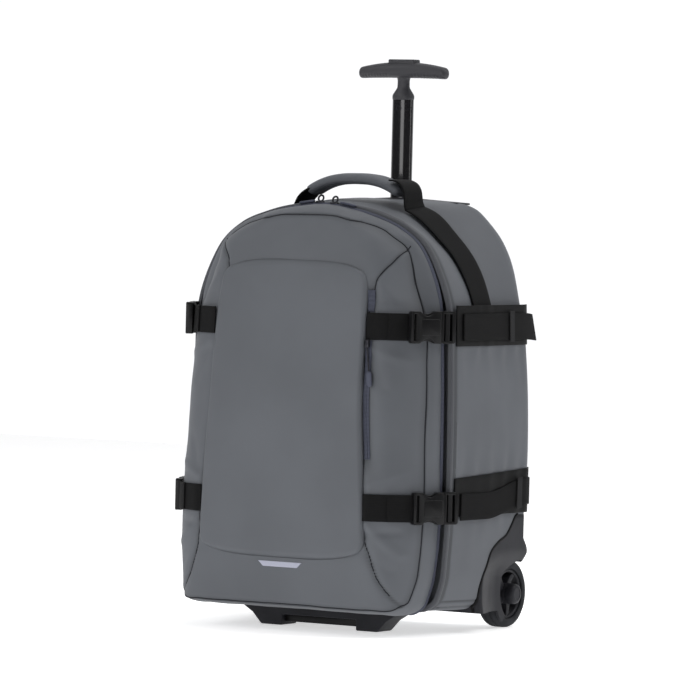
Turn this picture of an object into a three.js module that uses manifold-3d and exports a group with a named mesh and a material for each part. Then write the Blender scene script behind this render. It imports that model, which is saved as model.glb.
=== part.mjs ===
// Wheeled backpack with a telescoping T handle, built at real size.
// Millimetres, +Z up, the front faces -Y and +X is the viewer's right.
// The origin is the middle of the bounding box on the ground.

import * as THREE from 'three';
import { mergeVertices } from 'three/addons/utils/BufferGeometryUtils.js';
import Module from 'manifold-3d';

// Overall sizes of the cloth body
const bodyTop = 500;            // top of the main compartment
const bodyBottom = 28;          // underside of the main compartment
const rearHalfWidth = 186;      // widest half width, near the back
const middleHalfWidth = 183;    // half width under the carry handle
const frontHalfWidth = 177.5;   // half width at the front edge of the main compartment
const backPlane = 138;          // depth of the flat back panel
const mainFrontEdge = -38;      // depth of the front edge of the main compartment
const backCorner = 28;          // radius of the vertical back corners
const clothWall = 2.5;          // padded cloth wall
const gap = 0.3;                // running gap between neighbouring pieces

// Front compartment
const zipPlane = -50;           // depth of the front side of the main zip
const zipHalfWidth = 168;
const zipBottom = 26;
const zipTop = 494;
const zipWidth = 5.7;
const seamHalfWidth = 164;      // half width of the seam round the front face
const seamBottom = 31;
const seamTop = 483;
const frontDepth = 71;          // from the main zip to the front face
const frontCrown = 8;           // power of the rounded edge of the front face
const bandBulge = 3;            // how far the band beside the zip swells out

// Raised middle panel of the front
const panelThickness = 3.2;
const panelLift = 1.2;          // room for the seam turned in under it
const panelBottom = 92;
const panelTop = 424;
const panelCorner = 16;

// Straps and buckles
const webbingThickness = 2;
const strapWidth = 31;
const wingThickness = 1.5;
const upperStrapHeight = 357;   // middle of the upper compression strap
const lowerStrapHeight = 150;   // middle of the lower compression strap at its buckle
const lowerStrapRise = 14;      // how far the lower strap rises towards the back
const strapLift = 0.8;          // a strap lies this far off the cloth
const buckleLength = 60;
const buckleHeight = 37;
const buckleThickness = 9;

// Carry handle
const handleDepth = 28;         // depth of its middle
const handleWebbingWidth = 40;
const handleHalfLength = 62;
const handleTop = 531;
const handleThickness = 13;
const handleWidth = 34;

// Telescoping handle
const poleWidth = 26;
const poleDepth = 20;
const poleWall = 1.5;
const poleTop = 618.5;
const poleLength = 460;
const guideWall = 1.5;
const guideClearance = 0.4;
const collarHeight = 15;
const neckWidth = 15;
const gripLength = 122;
const gripRise = 33.5;          // from the top of the tube to the middle of the grip's bar
const gripMiddle = poleTop + gripRise;
const gripThickness = 19;
const gripEnd = 13;
const gripDepth = 24;
const buttonLength = 36;
const buttonProud = 5;
const buttonSink = 4;
const buttonWidth = 15;
const rivetRadius = 4;
const rivetDrop = 10;
const topPlateHalfLength = 92;
const topPlateThickness = 2.4;
const topPlateWidth = 30;

// Wheels and their housings
const wheelRadius = 40;
const wheelCentre = 140;        // depth of the axle
const tyreInner = 130;          // inner face of the tyre
const tyreWidth = 24;
const tyreThickness = 11;
const hubRadius = 12.5;
const capProud = 10;
const wheelFaceClearance = 3;   // from the outer face of the tyre to the fender beside it
const axleRadius = 4;
const axleClearance = 0.4;
const axleEnd = tyreInner + tyreWidth - 4;
const wellClearance = 4;
const housingOuter = 173;       // outer face of the wheel housing
const housingInner = 112;
const housingFront = 35.5;
const housingTop = 136;
const housingBottom = 23;
const innerPlate = 12;
const lugReach = 11.5;          // how far the rear lug stands behind the back panel
const lugBottom = 77;
const spokeCount = 5;

// Foot under the front
const footFront = -38;
const footDepth = 34;
const footPadInner = 51;
const footPadOuter = 80;
const footSlope = 24;
const footBarHeight = 9;        // the recess between the pads is this high at its sides
const footBarThickness = 3.7;
const footFlareHeight = 13;

// Shoulder straps on the back
const shoulderThickness = 12;
const shoulderWidth = 58;
const anchorWidth = 25;

// Depths at which the elastic keepers hold the tails of the side webbing
const upperKeeperDepth = 78;
const lowerKeeperDepth = 94;

// The outline of the cloth body, from the bottom middle up the side to the top middle.
// out is a share of the half width and up is a share of the height, for each station along the depth.
const outlineRows = [
  //        seam round the front           zip            front edge      under the handle     back
  { seam: [0, 0, 1.0], zip: [0, 0], front: [0, 0], middle: [0, 0], rear: [0, 0] },
  { seam: [0.40, 0, 0.96], zip: [0.39, 0], front: [0.38, 0], middle: [0.38, 0], rear: [0.38, 0] },
  { seam: [0.70, 0, 0.82], zip: [0.68, 0], front: [0.67, 0], middle: [0.68, 0], rear: [0.68, 0] },
  {
    seam: [0.87, 0.004, 0.65], zip: [0.83, 0.004], front: [0.845, 0.004],
    middle: [0.863, 0.004], rear: [0.85, 0.004],
  },
  {
    seam: [0.935, 0.02, 0.58], zip: [0.89, 0.02], front: [0.907, 0.02],
    middle: [0.925, 0.02], rear: [0.91, 0.02],
  },
  {
    seam: [0.97, 0.064, 0.49], zip: [0.94, 0.062], front: [0.952, 0.06],
    middle: [0.957, 0.06], rear: [0.94, 0.06],
  },
  {
    seam: [0.995, 0.135, 0.44], zip: [0.98, 0.14], front: [0.98, 0.142],
    middle: [0.975, 0.142], rear: [0.965, 0.142],
  },
  {
    seam: [1, 0.285, 0.38], zip: [1, 0.286], front: [0.997, 0.282],
    middle: [0.995, 0.28], rear: [0.99, 0.28],
  },
  { seam: [0.98, 0.44, 0.32], zip: [1, 0.436], front: [1, 0.432], middle: [1, 0.43], rear: [1, 0.40] },
  {
    seam: [0.965, 0.617, 0.255], zip: [0.99, 0.628], front: [0.99, 0.625],
    middle: [0.985, 0.62], rear: [0.975, 0.62],
  },
  {
    seam: [0.935, 0.73, 0.205], zip: [0.98, 0.72], front: [0.982, 0.715],
    middle: [0.965, 0.70], rear: [0.95, 0.70],
  },
  {
    seam: [0.85, 0.816, 0.17], zip: [0.96, 0.778], front: [0.955, 0.77],
    middle: [0.93, 0.75], rear: [0.925, 0.735],
  },
  {
    seam: [0.805, 0.876, 0.17], zip: [0.895, 0.844], front: [0.89, 0.835],
    middle: [0.875, 0.803], rear: [0.865, 0.833],
  },
  {
    seam: [0.76, 0.918, 0.17], zip: [0.80, 0.902], front: [0.795, 0.897],
    middle: [0.79, 0.854], rear: [0.79, 0.898],
  },
  {
    seam: [0.60, 0.961, 0.24], zip: [0.645, 0.944], front: [0.642, 0.945],
    middle: [0.655, 0.907], rear: [0.665, 0.955],
  },
  {
    seam: [0.43, 0.982, 0.32], zip: [0.45, 0.972], front: [0.44, 0.975],
    middle: [0.485, 0.964], rear: [0.535, 0.99],
  },
  {
    seam: [0.24, 0.996, 0.41], zip: [0.25, 0.989], front: [0.25, 0.992],
    middle: [0.27, 0.994], rear: [0.32, 1],
  },
  { seam: [0, 1, 0.44], zip: [0, 1], front: [0, 1], middle: [0, 1], rear: [0, 1] },
];
const shoulderRow = 11;         // the row at which the side turns into the shoulder
const crownRow = 15;            // the row at which the shoulder turns into the top
const sideRow = 4;              // the first row of the side, above the bottom corner

// The middle line of the front face: height and depth as shares of the seam height and of frontDepth
const frontLine = [
  { up: 0, proud: 1.0 },
  { up: 0.106, proud: 1.04 },
  { up: 0.18, proud: 1.045 },
  { up: 0.524, proud: 1.015 },
  { up: 0.69, proud: 0.93 },
  { up: 0.874, proud: 0.76 },
  { up: 1, proud: 0.44 },
];

// The side edge of the raised panel: half width as a share of seamHalfWidth
const panelEdge = [
  { up: 0, out: 0.69 },
  { up: 0.04, out: 0.69 },
  { up: 0.53, out: 0.66 },
  { up: 0.85, out: 0.60 },
  { up: 1, out: 0.58 },
];

const wasm = await Module();
wasm.setup();

function lerp(a, b, share) {
  return a + (b - a) * share;
}

// Reads a value from a table of rows, along its ascending key column
function readTable(rows, key, column, at) {
  let next = rows.findIndex((row) => row[key] >= at);
  if (next < 0) next = rows.length - 1;
  if (next === 0) next = 1;
  const low = rows[next - 1];
  const high = rows[next];
  const share = THREE.MathUtils.clamp((at - low[key]) / (high[key] - low[key]), 0, 1);
  return lerp(low[column], high[column], share);
}

// Joins rings of points into one closed solid. A closed loft runs round to its first ring;
// an open one gets a fan of faces at each end.
function loft(rings, closed = false) {
  const points = rings.flat();
  const count = rings[0].length;
  const faces = [];
  const pairs = closed ? rings.length : rings.length - 1;
  for (let i = 0; i < pairs; i += 1) {
    const a = i * count;
    const b = ((i + 1) % rings.length) * count;
    for (let j = 0; j < count; j += 1) {
      const k = (j + 1) % count;
      faces.push(a + j, a + k, b + k, a + j, b + k, b + j);
    }
  }
  if (!closed) {
    const ends = [[0, true], [(rings.length - 1) * count, false]];
    for (const [start, reversed] of ends) {
      const middle = new THREE.Vector3();
      for (let j = 0; j < count; j += 1) middle.addScaledVector(points[start + j], 1 / count);
      points.push(middle);
      for (let j = 0; j < count; j += 1) {
        const k = (j + 1) % count;
        const pair = reversed ? [start + k, start + j] : [start + j, start + k];
        faces.push(points.length - 1, ...pair);
      }
    }
  }
  const geometry = new THREE.BufferGeometry().setFromPoints(points);
  geometry.setIndex(faces);
  return turnedOut(geometry);
}

// The positions of a geometry alone, with shared corners merged
function merged(geometry) {
  const bare = geometry.clone();
  bare.deleteAttribute('normal');
  bare.deleteAttribute('uv');
  return mergeVertices(bare, 1e-4);
}

// Turns the faces of a closed geometry outwards
function turnedOut(rough) {
  const geometry = merged(rough);
  const position = geometry.getAttribute('position');
  const index = geometry.getIndex().array;
  const corner = [new THREE.Vector3(), new THREE.Vector3(), new THREE.Vector3()];
  let volume = 0;
  for (let i = 0; i < index.length; i += 3) {
    corner.forEach((point, n) => point.fromBufferAttribute(position, index[i + n]));
    volume += corner[0].dot(corner[1].clone().cross(corner[2]));
  }
  if (volume < 0) {
    for (let i = 0; i < index.length; i += 3) {
      [index[i + 1], index[i + 2]] = [index[i + 2], index[i + 1]];
    }
  }
  return geometry;
}

// The same geometry on the other side of the bag
function mirrored(geometry) {
  const copy = geometry.clone();
  copy.scale(-1, 1, 1);
  return turnedOut(copy);
}

function toManifold(geometry) {
  const clean = turnedOut(geometry);
  const vertProperties = new Float32Array(clean.getAttribute('position').array);
  const triVerts = new Uint32Array(clean.getIndex().array);
  return new wasm.Manifold(new wasm.Mesh({ numProp: 3, vertProperties, triVerts }));
}

function fromManifold(solid) {
  const mesh = solid.getMesh();
  const geometry = new THREE.BufferGeometry();
  geometry.setAttribute('position', new THREE.BufferAttribute(mesh.vertProperties, 3));
  geometry.setIndex(Array.from(mesh.triVerts));
  return geometry;
}

function cut(base, ...tools) {
  let solid = toManifold(base);
  for (const tool of tools) solid = solid.subtract(toManifold(tool));
  return fromManifold(solid);
}

function join(...geometries) {
  const solids = geometries.map(toManifold);
  return fromManifold(solids.reduce((sum, solid) => sum.add(solid)));
}

function outline(points) {
  return new THREE.Shape(points.map(([a, b]) => new THREE.Vector2(a, b)));
}

// A plate whose outline is drawn in depth and height, standing from one X to another
function sidePlate(shape, fromX, toX, curveSegments = 8) {
  const settings = { depth: toX - fromX, bevelEnabled: false, curveSegments };
  const geometry = new THREE.ExtrudeGeometry(shape, settings);
  geometry.rotateX(Math.PI / 2);
  geometry.rotateZ(Math.PI / 2);
  geometry.translate(fromX, 0, 0);
  return geometry;
}

// A plate whose outline is drawn in width and height, standing from one depth to another
function frontPlate(shape, fromY, toY, curveSegments = 8) {
  const settings = { depth: toY - fromY, bevelEnabled: false, curveSegments };
  const geometry = new THREE.ExtrudeGeometry(shape, settings);
  geometry.rotateX(Math.PI / 2);
  geometry.translate(0, toY, 0);
  return geometry;
}

function rodAlongX(radius, fromX, toX, y, z, sides) {
  const geometry = new THREE.CylinderGeometry(radius, radius, toX - fromX, sides);
  geometry.rotateZ(Math.PI / 2);
  geometry.translate((fromX + toX) / 2, y, z);
  return geometry;
}

// An oval post standing from one height to another
function ovalPost(width, depth, y, fromZ, toZ, sides = 20) {
  const geometry = new THREE.CylinderGeometry(0.5, 0.5, toZ - fromZ, sides);
  geometry.rotateX(Math.PI / 2);
  geometry.scale(width, depth, 1);
  geometry.translate(0, y, (fromZ + toZ) / 2);
  return geometry;
}

// Stations of the main compartment: depth, how far the ends are drawn in, and the blend of outlines
const rearStart = backPlane - backCorner;
const mainStations = [
  { y: mainFrontEdge, from: 'front', to: 'middle', share: 0, inset: 0 },
  { y: lerp(mainFrontEdge, handleDepth, 0.5), from: 'front', to: 'middle', share: 0.5, inset: 0 },
  { y: handleDepth, from: 'middle', to: 'rear', share: 0, inset: 0 },
  { y: lerp(handleDepth, rearStart, 0.5), from: 'middle', to: 'rear', share: 0.6, inset: 0 },
  { y: rearStart, from: 'middle', to: 'rear', share: 1, inset: 0 },
  { y: backPlane - backCorner * 0.3, from: 'middle', to: 'rear', share: 1, inset: backCorner * 0.29 },
  { y: backPlane, from: 'middle', to: 'rear', share: 1, inset: backCorner },
];
const topInsetShare = 0.4;      // the back edge of the top is drawn in less than the sides
const bodySizes = {
  front: { half: frontHalfWidth, bottom: bodyBottom + 1, top: bodyTop - 4.5 },
  middle: { half: middleHalfWidth, bottom: bodyBottom, top: bodyTop - 1 },
  rear: { half: rearHalfWidth, bottom: bodyBottom, top: bodyTop },
  zip: { half: zipHalfWidth, bottom: zipBottom, top: zipTop },
  seam: { half: seamHalfWidth, bottom: seamBottom, top: seamTop },
};

// Where one row of the outline table lies, in width and height
function rowPoint(row, station) {
  const size = bodySizes[station];
  const [out, up] = outlineRows[row][station];
  return { x: out * size.half, z: lerp(size.bottom, size.top, up) };
}

// The right half of the body outline at a station, drawn in by its inset
function stationHalf(station) {
  const bottom = lerp(bodySizes[station.from].bottom, bodySizes[station.to].bottom, station.share);
  const top = lerp(bodySizes[station.from].top, bodySizes[station.to].top, station.share);
  const half = lerp(bodySizes[station.from].half, bodySizes[station.to].half, station.share);
  const middle = (bottom + top) / 2;
  const widthShare = 1 - station.inset / half;
  const heightShare = 1 - (station.inset * topInsetShare) / (top - middle);
  return outlineRows.map((_, row) => {
    const a = rowPoint(row, station.from);
    const b = rowPoint(row, station.to);
    const x = lerp(a.x, b.x, station.share);
    const z = lerp(a.z, b.z, station.share);
    return { x: x * widthShare, z: middle + (z - middle) * heightShare };
  });
}

const stationHalves = mainStations.map(stationHalf);

// The right half of the body outline at any depth
function halfAt(y) {
  let next = mainStations.findIndex((station) => station.y >= y);
  if (next < 0) next = mainStations.length - 1;
  if (next === 0) next = 1;
  const low = mainStations[next - 1];
  const high = mainStations[next];
  const share = THREE.MathUtils.clamp((y - low.y) / (high.y - low.y), 0, 1);
  return stationHalves[next].map((point, row) => ({
    x: lerp(stationHalves[next - 1][row].x, point.x, share),
    z: lerp(stationHalves[next - 1][row].z, point.z, share),
  }));
}

// Half width of the main compartment at a height and a depth
function sideX(z, y) {
  return readTable(halfAt(y).slice(sideRow), 'z', 'x', z);
}

// A whole ring from its right half, drawn in all round by a wall
function ring(half, yOf, wall = 0) {
  const zs = half.map((point) => point.z);
  const low = Math.min(...zs);
  const high = Math.max(...zs);
  const middle = (low + high) / 2;
  const widest = Math.max(...half.map((point) => point.x));
  const widthShare = 1 - wall / widest;
  const heightShare = 1 - wall / (high - middle);
  const right = half.map((point, row) => new THREE.Vector3(
    point.x * widthShare,
    yOf(point, row),
    middle + (point.z - middle) * heightShare,
  ));
  const left = right.slice(1, -1).reverse().map((point) => new THREE.Vector3(-point.x, point.y, point.z));
  return [...right, ...left];
}

// Depth of the front face at a place on it, before the raised panel is added
const seamSide = outlineRows.slice(sideRow).map((_, n) => {
  const row = n + sideRow;
  const point = rowPoint(row, 'seam');
  return { z: point.z, x: point.x, y: zipPlane - outlineRows[row].seam[2] * frontDepth };
});

const zipSide = outlineRows.slice(sideRow).map((_, n) => rowPoint(n + sideRow, 'zip'));

function faceY(x, z) {
  const half = Math.max(readTable(seamSide, 'z', 'x', z), 1);
  const seamY = readTable(seamSide, 'z', 'y', z);
  const up = (z - seamBottom) / (seamTop - seamBottom);
  const middleY = zipPlane - readTable(frontLine, 'up', 'proud', up) * frontDepth;
  const share = Math.min(Math.abs(x) / half, 1);
  return lerp(middleY, seamY, share ** frontCrown);
}

// Main compartment: a cloth tub, open towards the front
function makeMainShell() {
  const outer = mainStations.map((station, n) => ring(stationHalves[n], () => station.y));
  const inner = mainStations.map((station, n) => {
    const insideBack = backPlane - clothWall;
    const y = station.y === backPlane ? insideBack : Math.min(station.y, insideBack - 2);
    return ring(stationHalves[n], () => y, clothWall);
  });
  const shell = loft([...inner.reverse(), ...outer]);
  const holeWidth = guideOuterWidth + 2 * gap;
  const holeDepth = guideOuterDepth + 2 * gap;
  const poleHole = ovalPost(holeWidth, holeDepth, poleY, bodyTop - backCorner, bodyTop + backCorner);
  const notch = sidePlate(housingOutline(gap), housingInner - gap, rearHalfWidth + backCorner);
  return cut(shell, poleHole, notch, mirrored(notch));
}

// Front compartment: a cloth tub, open towards the back
function makeFrontShell() {
  const seam = outlineRows.map((_, row) => rowPoint(row, 'seam'));
  const zip = outlineRows.map((_, row) => rowPoint(row, 'zip'));
  const seamY = (point, row) => (row < sideRow ? faceY(point.x, seamBottom) : seamSide[row - sideRow].y);
  const band = seam.map((point, row) => {
    const x = (point.x + zip[row].x) / 2;
    const z = (point.z + zip[row].z) / 2;
    const middle = (zipTop + zipBottom) / 2;
    const reach = Math.hypot(x / zipHalfWidth, (z - middle) / (zipTop - middle));
    return {
      x: x * (1 + bandBulge / zipHalfWidth / reach),
      z: z + (bandBulge * (z - middle)) / (zipTop - middle),
    };
  });
  const bandY = (point, row) => (seamY(seam[row], row) + zipPlane) / 2;
  const middle = (seamTop + seamBottom) / 2;
  const faceRing = (share, wall) => {
    const half = seam.map((point) => ({ x: point.x * share, z: middle + (point.z - middle) * share }));
    return ring(half, (point) => faceY(point.x, point.z) + wall, 0);
  };
  const faceShares = [0.97, 0.9, 0.8, 0.65, 0.4, 0.1];
  const outer = [
    ring(zip, () => zipPlane),
    ring(band, bandY),
    ring(seam, seamY),
    ...faceShares.map((share) => faceRing(share, 0)),
  ];
  const inner = [
    ring(zip, () => zipPlane, clothWall),
    ring(band, bandY, clothWall),
    ring(seam, (point, row) => seamY(point, row) + clothWall, clothWall),
    ...faceShares.map((share) => faceRing(share * (1 - clothWall / seamHalfWidth), clothWall)),
  ];
  return loft([...inner.reverse(), ...outer]);
}

// A flat band that follows the zip outline, such as the zip itself
function outlineBand(half, fromY, toY, thickness) {
  return loft([
    ring(half, () => fromY),
    ring(half, () => toY),
    ring(half, () => toY, thickness),
    ring(half, () => fromY, thickness),
  ], true);
}

// A strip of cloth on the front face, from a grid of width and height shares
function facePatch(columns, rows, place, lift, thickness) {
  const back = [];
  const front = [];
  for (const row of rows) {
    const line = columns.map((column) => place(column, row));
    back.push(line.map(({ x, z }) => new THREE.Vector3(x, faceY(x, z) - lift, z)));
    front.push(line.map(({ x, z }) => new THREE.Vector3(x, faceY(x, z) - lift - thickness, z)));
  }
  const rings = back.map((line, n) => [...line, ...front[n].slice().reverse()]);
  return loft(rings);
}

// Half width of the raised panel at a height, with rounded corners
function panelHalf(z) {
  const up = (z - panelBottom) / (panelTop - panelBottom);
  const half = readTable(panelEdge, 'up', 'out', up) * seamHalfWidth;
  const inFromEnd = Math.min(z - panelBottom, panelTop - z);
  if (inFromEnd >= panelCorner) return half;
  const share = 1 - inFromEnd / panelCorner;
  return half - panelCorner * (1 - Math.sqrt(1 - share * share));
}

function makePanel() {
  const columns = [-1, -0.96, -0.8, -0.5, -0.2, 0.2, 0.5, 0.8, 0.96, 1];
  const corner = [0.001, 0.3, 0.7, 1].map((share) => panelCorner * share);
  const rows = [
    ...corner.map((step) => panelBottom + step),
    ...[0.2, 0.38, 0.53, 0.68, 0.82].map((share) => lerp(panelBottom, panelTop, share)),
    ...corner.slice().reverse().map((step) => panelTop - step),
  ];
  const place = (column, z) => ({ x: column * panelHalf(z), z });
  return facePatch(columns, rows, place, panelLift, panelThickness);
}

// The zip of the side pocket lies beside the right edge of the raised panel
// It runs in two stretches, above and below the upper strap.
const pocketZipWidth = 7;
const pocketZipBottom = 205;
const pocketZipTop = 398;
const pocketZipLift = 0.9;
function makePocketZip(from, to) {
  const rows = [0, 0.35, 0.7, 1].map((step) => lerp(from, to, step));
  const place = (column, z) => ({ x: panelHalf(z) + 1 + column * pocketZipWidth, z });
  return facePatch([0, 0.5, 1], rows, place, pocketZipLift, webbingThickness);
}

// Reflective mark low on the front
const markHeight = 6.2;
const markBottom = 75.5;
const markTopHalf = 29.5;
const markBottomHalf = 23;
const markThickness = 0.8;
function makeMark() {
  const place = (column, row) => ({
    x: column * lerp(markBottomHalf, markTopHalf, row),
    z: markBottom + row * markHeight,
  });
  return facePatch([-1, -0.3, 0.3, 1], [0, 1], place, gap, markThickness);
}

// A ribbon from stations that each give a point, a direction across and a direction outwards
function ribbon(stations, lift, thickness) {
  return loft(stations.map(({ low, high, out }) => {
    const near = (point) => point.clone().addScaledVector(out, lift);
    const far = (point) => point.clone().addScaledVector(out, lift + thickness);
    return [near(low), near(high), far(high), far(low)];
  }));
}

// Stations of a strap on the side of the main compartment, going back along the depth.
// It stands clear of what lies under it, which may be a wider strip.
function sideStations(depths, lowOf, highOf, underLowOf = lowOf, underHighOf = highOf) {
  return depths.map((y) => {
    const low = lowOf(y);
    const high = highOf(y);
    const under = [underLowOf(y), underHighOf(y), (underLowOf(y) + underHighOf(y)) / 2, (low + high) / 2];
    const x = Math.max(...under.map((z) => sideX(z, y)));
    const ahead = sideX((low + high) / 2, y + 2) - sideX((low + high) / 2, y - 2);
    const out = new THREE.Vector3(4, -ahead, 0).normalize();
    return { low: new THREE.Vector3(x, y, low), high: new THREE.Vector3(x, y, high), out };
  });
}

const sideDepths = [mainFrontEdge + 3, lerp(mainFrontEdge, handleDepth, 0.5), handleDepth,
  lerp(handleDepth, rearStart, 0.5), rearStart];
const backDepths = [...sideDepths, backPlane - backCorner * 0.3 - 2];

// Black reinforcing panels under the straps
const upperWingLow = 335;
const upperWingHigh = 382;
const lowerWingLow = 139;
const lowerWingHigh = 183;
const lowerWingRise = 9;
function makeUpperWing() {
  return ribbon(sideStations(backDepths, () => upperWingLow, () => upperWingHigh), strapLift, wingThickness);
}

function lowerWingTop(y) {
  return lowerWingHigh + (lowerWingRise * (y - mainFrontEdge)) / (backPlane - mainFrontEdge);
}

function makeLowerWing() {
  return ribbon(sideStations(backDepths, () => lowerWingLow, lowerWingTop), strapLift, wingThickness);
}

// Webbing that runs from a buckle to the back over a black panel
const overWing = strapLift + wingThickness + 2 * gap;
const webbingFront = -24;
const upperTailEnd = 142;
const upperStitchDepth = 96;
function makeUpperSideWebbing() {
  const depths = [webbingFront, lerp(mainFrontEdge, handleDepth, 0.5), handleDepth,
    lerp(handleDepth, rearStart, 0.5), upperStitchDepth];
  const low = () => upperStrapHeight - strapWidth / 2;
  const high = () => upperStrapHeight + strapWidth / 2;
  const stations = sideStations(depths, low, high, () => upperWingLow, () => upperWingHigh);
  const last = stations[stations.length - 1];
  const tail = (point) => point.clone().add(new THREE.Vector3(0, upperTailEnd - upperStitchDepth, 0));
  stations.push({ low: tail(last.low), high: tail(last.high), out: last.out });
  return ribbon(stations, overWing, webbingThickness);
}

function lowerStrapMiddle(y) {
  const share = THREE.MathUtils.clamp((y - handleDepth) / (rearStart - handleDepth), 0, 1);
  return lowerStrapHeight + lowerStrapRise * share;
}

function makeLowerSideWebbing() {
  const depths = [webbingFront, lerp(mainFrontEdge, handleDepth, 0.5), handleDepth,
    lerp(handleDepth, rearStart, 0.5), rearStart, backPlane - backCorner * 0.3];
  const stations = sideStations(
    depths,
    (y) => lowerStrapMiddle(y) - strapWidth / 2,
    (y) => lowerStrapMiddle(y) + strapWidth / 2,
    () => lowerWingLow,
    lowerWingTop,
  );
  const level = lowerStrapMiddle(backPlane);
  const corner = (x, outX, outY) => ({
    low: new THREE.Vector3(x, backPlane, level - strapWidth / 2),
    high: new THREE.Vector3(x, backPlane, level + strapWidth / 2),
    out: new THREE.Vector3(outX, outY, 0),
  });
  stations.push(corner(sideX(level, backPlane) + 4, 0.3, 0.95));
  stations.push(corner(sideX(level, backPlane) - backCorner, 0, 1));
  return ribbon(stations, overWing, webbingThickness);
}

// Elastic keepers across the webbing
const keeperWidth = 10;
const keeperThickness = 1.5;
function makeKeeper(y, middleOf) {
  const reach = strapWidth / 2 + 3;
  const depths = [y - keeperWidth / 2, y + keeperWidth / 2];
  const stations = sideStations(depths, (at) => middleOf(at) - reach, (at) => middleOf(at) + reach);
  return ribbon(stations, overWing + webbingThickness + gap * 2, keeperThickness);
}

// A side release buckle lies across the edge of the front compartment.
// It is drawn flat, with its length along the strap, then turned to the strap's direction.
const buckleTurn = THREE.MathUtils.degToRad(26.5);
const buckleAhead = 17.5;       // its middle lies this far in front of the main zip
const slotWidth = 3.5;
const slotMargin = 5;
const scoopDepth = 6;
function buckleShape() {
  const half = buckleHeight / 2;
  const shape = new THREE.Shape();
  shape.moveTo(2, -half);
  shape.lineTo(buckleLength * 0.16, -half);
  shape.quadraticCurveTo(buckleLength * 0.32, -half + scoopDepth * 2, buckleLength * 0.5, -half);
  shape.lineTo(buckleLength - 2, -half);
  shape.lineTo(buckleLength, -half + 2);
  shape.lineTo(buckleLength, half - 2);
  shape.lineTo(buckleLength - 2, half);
  shape.lineTo(buckleLength * 0.5, half);
  shape.quadraticCurveTo(buckleLength * 0.32, half - scoopDepth * 2, buckleLength * 0.16, half);
  shape.lineTo(2, half);
  shape.lineTo(0, half - 2);
  shape.lineTo(0, -half + 2);
  return shape;
}

// The front end of a buckle, laid as close to the bag as its underside allows
function buckleStart(height) {
  const along = new THREE.Vector2(Math.sin(buckleTurn), Math.cos(buckleTurn));
  const out = new THREE.Vector2(along.y, -along.x);
  const seamX = readTable(seamSide, 'z', 'x', height);
  const seamY = readTable(seamSide, 'z', 'y', height);
  const zipX = readTable(zipSide, 'z', 'x', height);
  const touching = [
    new THREE.Vector2(seamX, seamY),
    new THREE.Vector2((seamX + zipX) / 2 + bandBulge, (seamY + zipPlane) / 2),
    new THREE.Vector2(zipX, zipPlane),
    new THREE.Vector2(sideX(height, mainFrontEdge), mainFrontEdge),
  ];
  const offset = Math.max(...touching.map((point) => point.dot(out))) + strapLift;
  const middleY = zipPlane - buckleAhead;
  const middle = new THREE.Vector2((offset - out.y * middleY) / out.x, middleY);
  return middle.addScaledVector(along, -buckleLength / 2);
}

const bridgeShare = 0.76;       // the second crossbar of the ladder frame, along the buckle
function makeBuckle(height) {
  const settings = { depth: buckleThickness, bevelEnabled: false, curveSegments: 5 };
  const places = [slotMargin, buckleLength - slotMargin - slotWidth, buckleLength * bridgeShare];
  const slots = places.map((at) => {
    const slot = new THREE.BoxGeometry(slotWidth, strapWidth, buckleThickness * 3);
    slot.translate(at + slotWidth / 2, 0, 0);
    return slot;
  });
  const geometry = cut(new THREE.ExtrudeGeometry(buckleShape(), settings), ...slots);
  geometry.rotateX(Math.PI / 2);
  geometry.rotateZ(Math.PI / 2 - buckleTurn);
  const start = buckleStart(height);
  geometry.translate(start.x, start.y, height);
  return geometry;
}

// Webbing from the raised panel round the front corner to a buckle
function makeFrontWebbing(height) {
  const low = height - strapWidth / 2;
  const high = height + strapWidth / 2;
  const start = Math.max(panelHalf(low), panelHalf(high)) + 1;
  const end = buckleStart(height).x - 1.5;
  const places = [0, 0.35, 0.6, 0.8, 1].map((share) => lerp(start, end, share));
  const stations = places.map((x) => {
    const y = Math.min(faceY(x, low), faceY(x, high), faceY(x, height));
    const slope = (faceY(x + 1, height) - faceY(x - 1, height)) / 2;
    const out = new THREE.Vector3(Math.min(slope, 2.5), -1, 0).normalize();
    return { low: new THREE.Vector3(x, y, low), high: new THREE.Vector3(x, y, high), out };
  });
  return ribbon(stations, strapLift, webbingThickness);
}

// Webbing of the carry handle, up the shoulder of the bag and into the padded grip
const handleWebbingLift = 1.8;
function makeHandleWebbing() {
  const edges = [handleDepth - handleWebbingWidth / 2, handleDepth, handleDepth + handleWebbingWidth / 2];
  const halves = edges.map(halfAt);
  const rows = [shoulderRow + 0.1];
  for (let row = shoulderRow + 0.5; row <= crownRow; row += 0.5) rows.push(row);
  rows.push(crownRow + 0.3);
  const pointAt = (half, row) => {
    const low = half[Math.floor(row)];
    const high = half[Math.min(Math.floor(row) + 1, half.length - 1)];
    const share = row - Math.floor(row);
    return new THREE.Vector3(lerp(low.x, high.x, share), 0, lerp(low.z, high.z, share));
  };
  const rings = rows.map((row) => {
    const ahead = pointAt(halves[1], row + 0.25).sub(pointAt(halves[1], row - 0.25));
    const out = new THREE.Vector3(ahead.z, 0, -ahead.x).normalize();
    const near = halves.map((half, n) => {
      const point = pointAt(half, row).setY(edges[n]);
      return point.addScaledVector(out, handleWebbingLift);
    });
    const far = near.map((point) => point.clone().addScaledVector(out, webbingThickness)).reverse();
    return [...near, ...far];
  });
  const end = handleEndPoint();
  const side = new THREE.Vector3(webbingThickness, 0, 0);
  const near = edges.map((y) => new THREE.Vector3(end.x + gap, y, end.z));
  const far = near.map((point) => point.clone().add(side)).reverse();
  rings.push([...near, ...far]);
  return loft(rings);
}

// Padded grip of the carry handle
const handleEndDrop = 13;
const handleEndWidth = 0.86;
function handleEndPoint() {
  return { x: handleHalfLength, z: handleTop - handleThickness - handleEndDrop };
}

// A value between -1 and 1 pushed towards its ends, which squares up a round section
function squared(value, power) {
  return Math.sign(value) * Math.abs(value) ** power;
}

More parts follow.
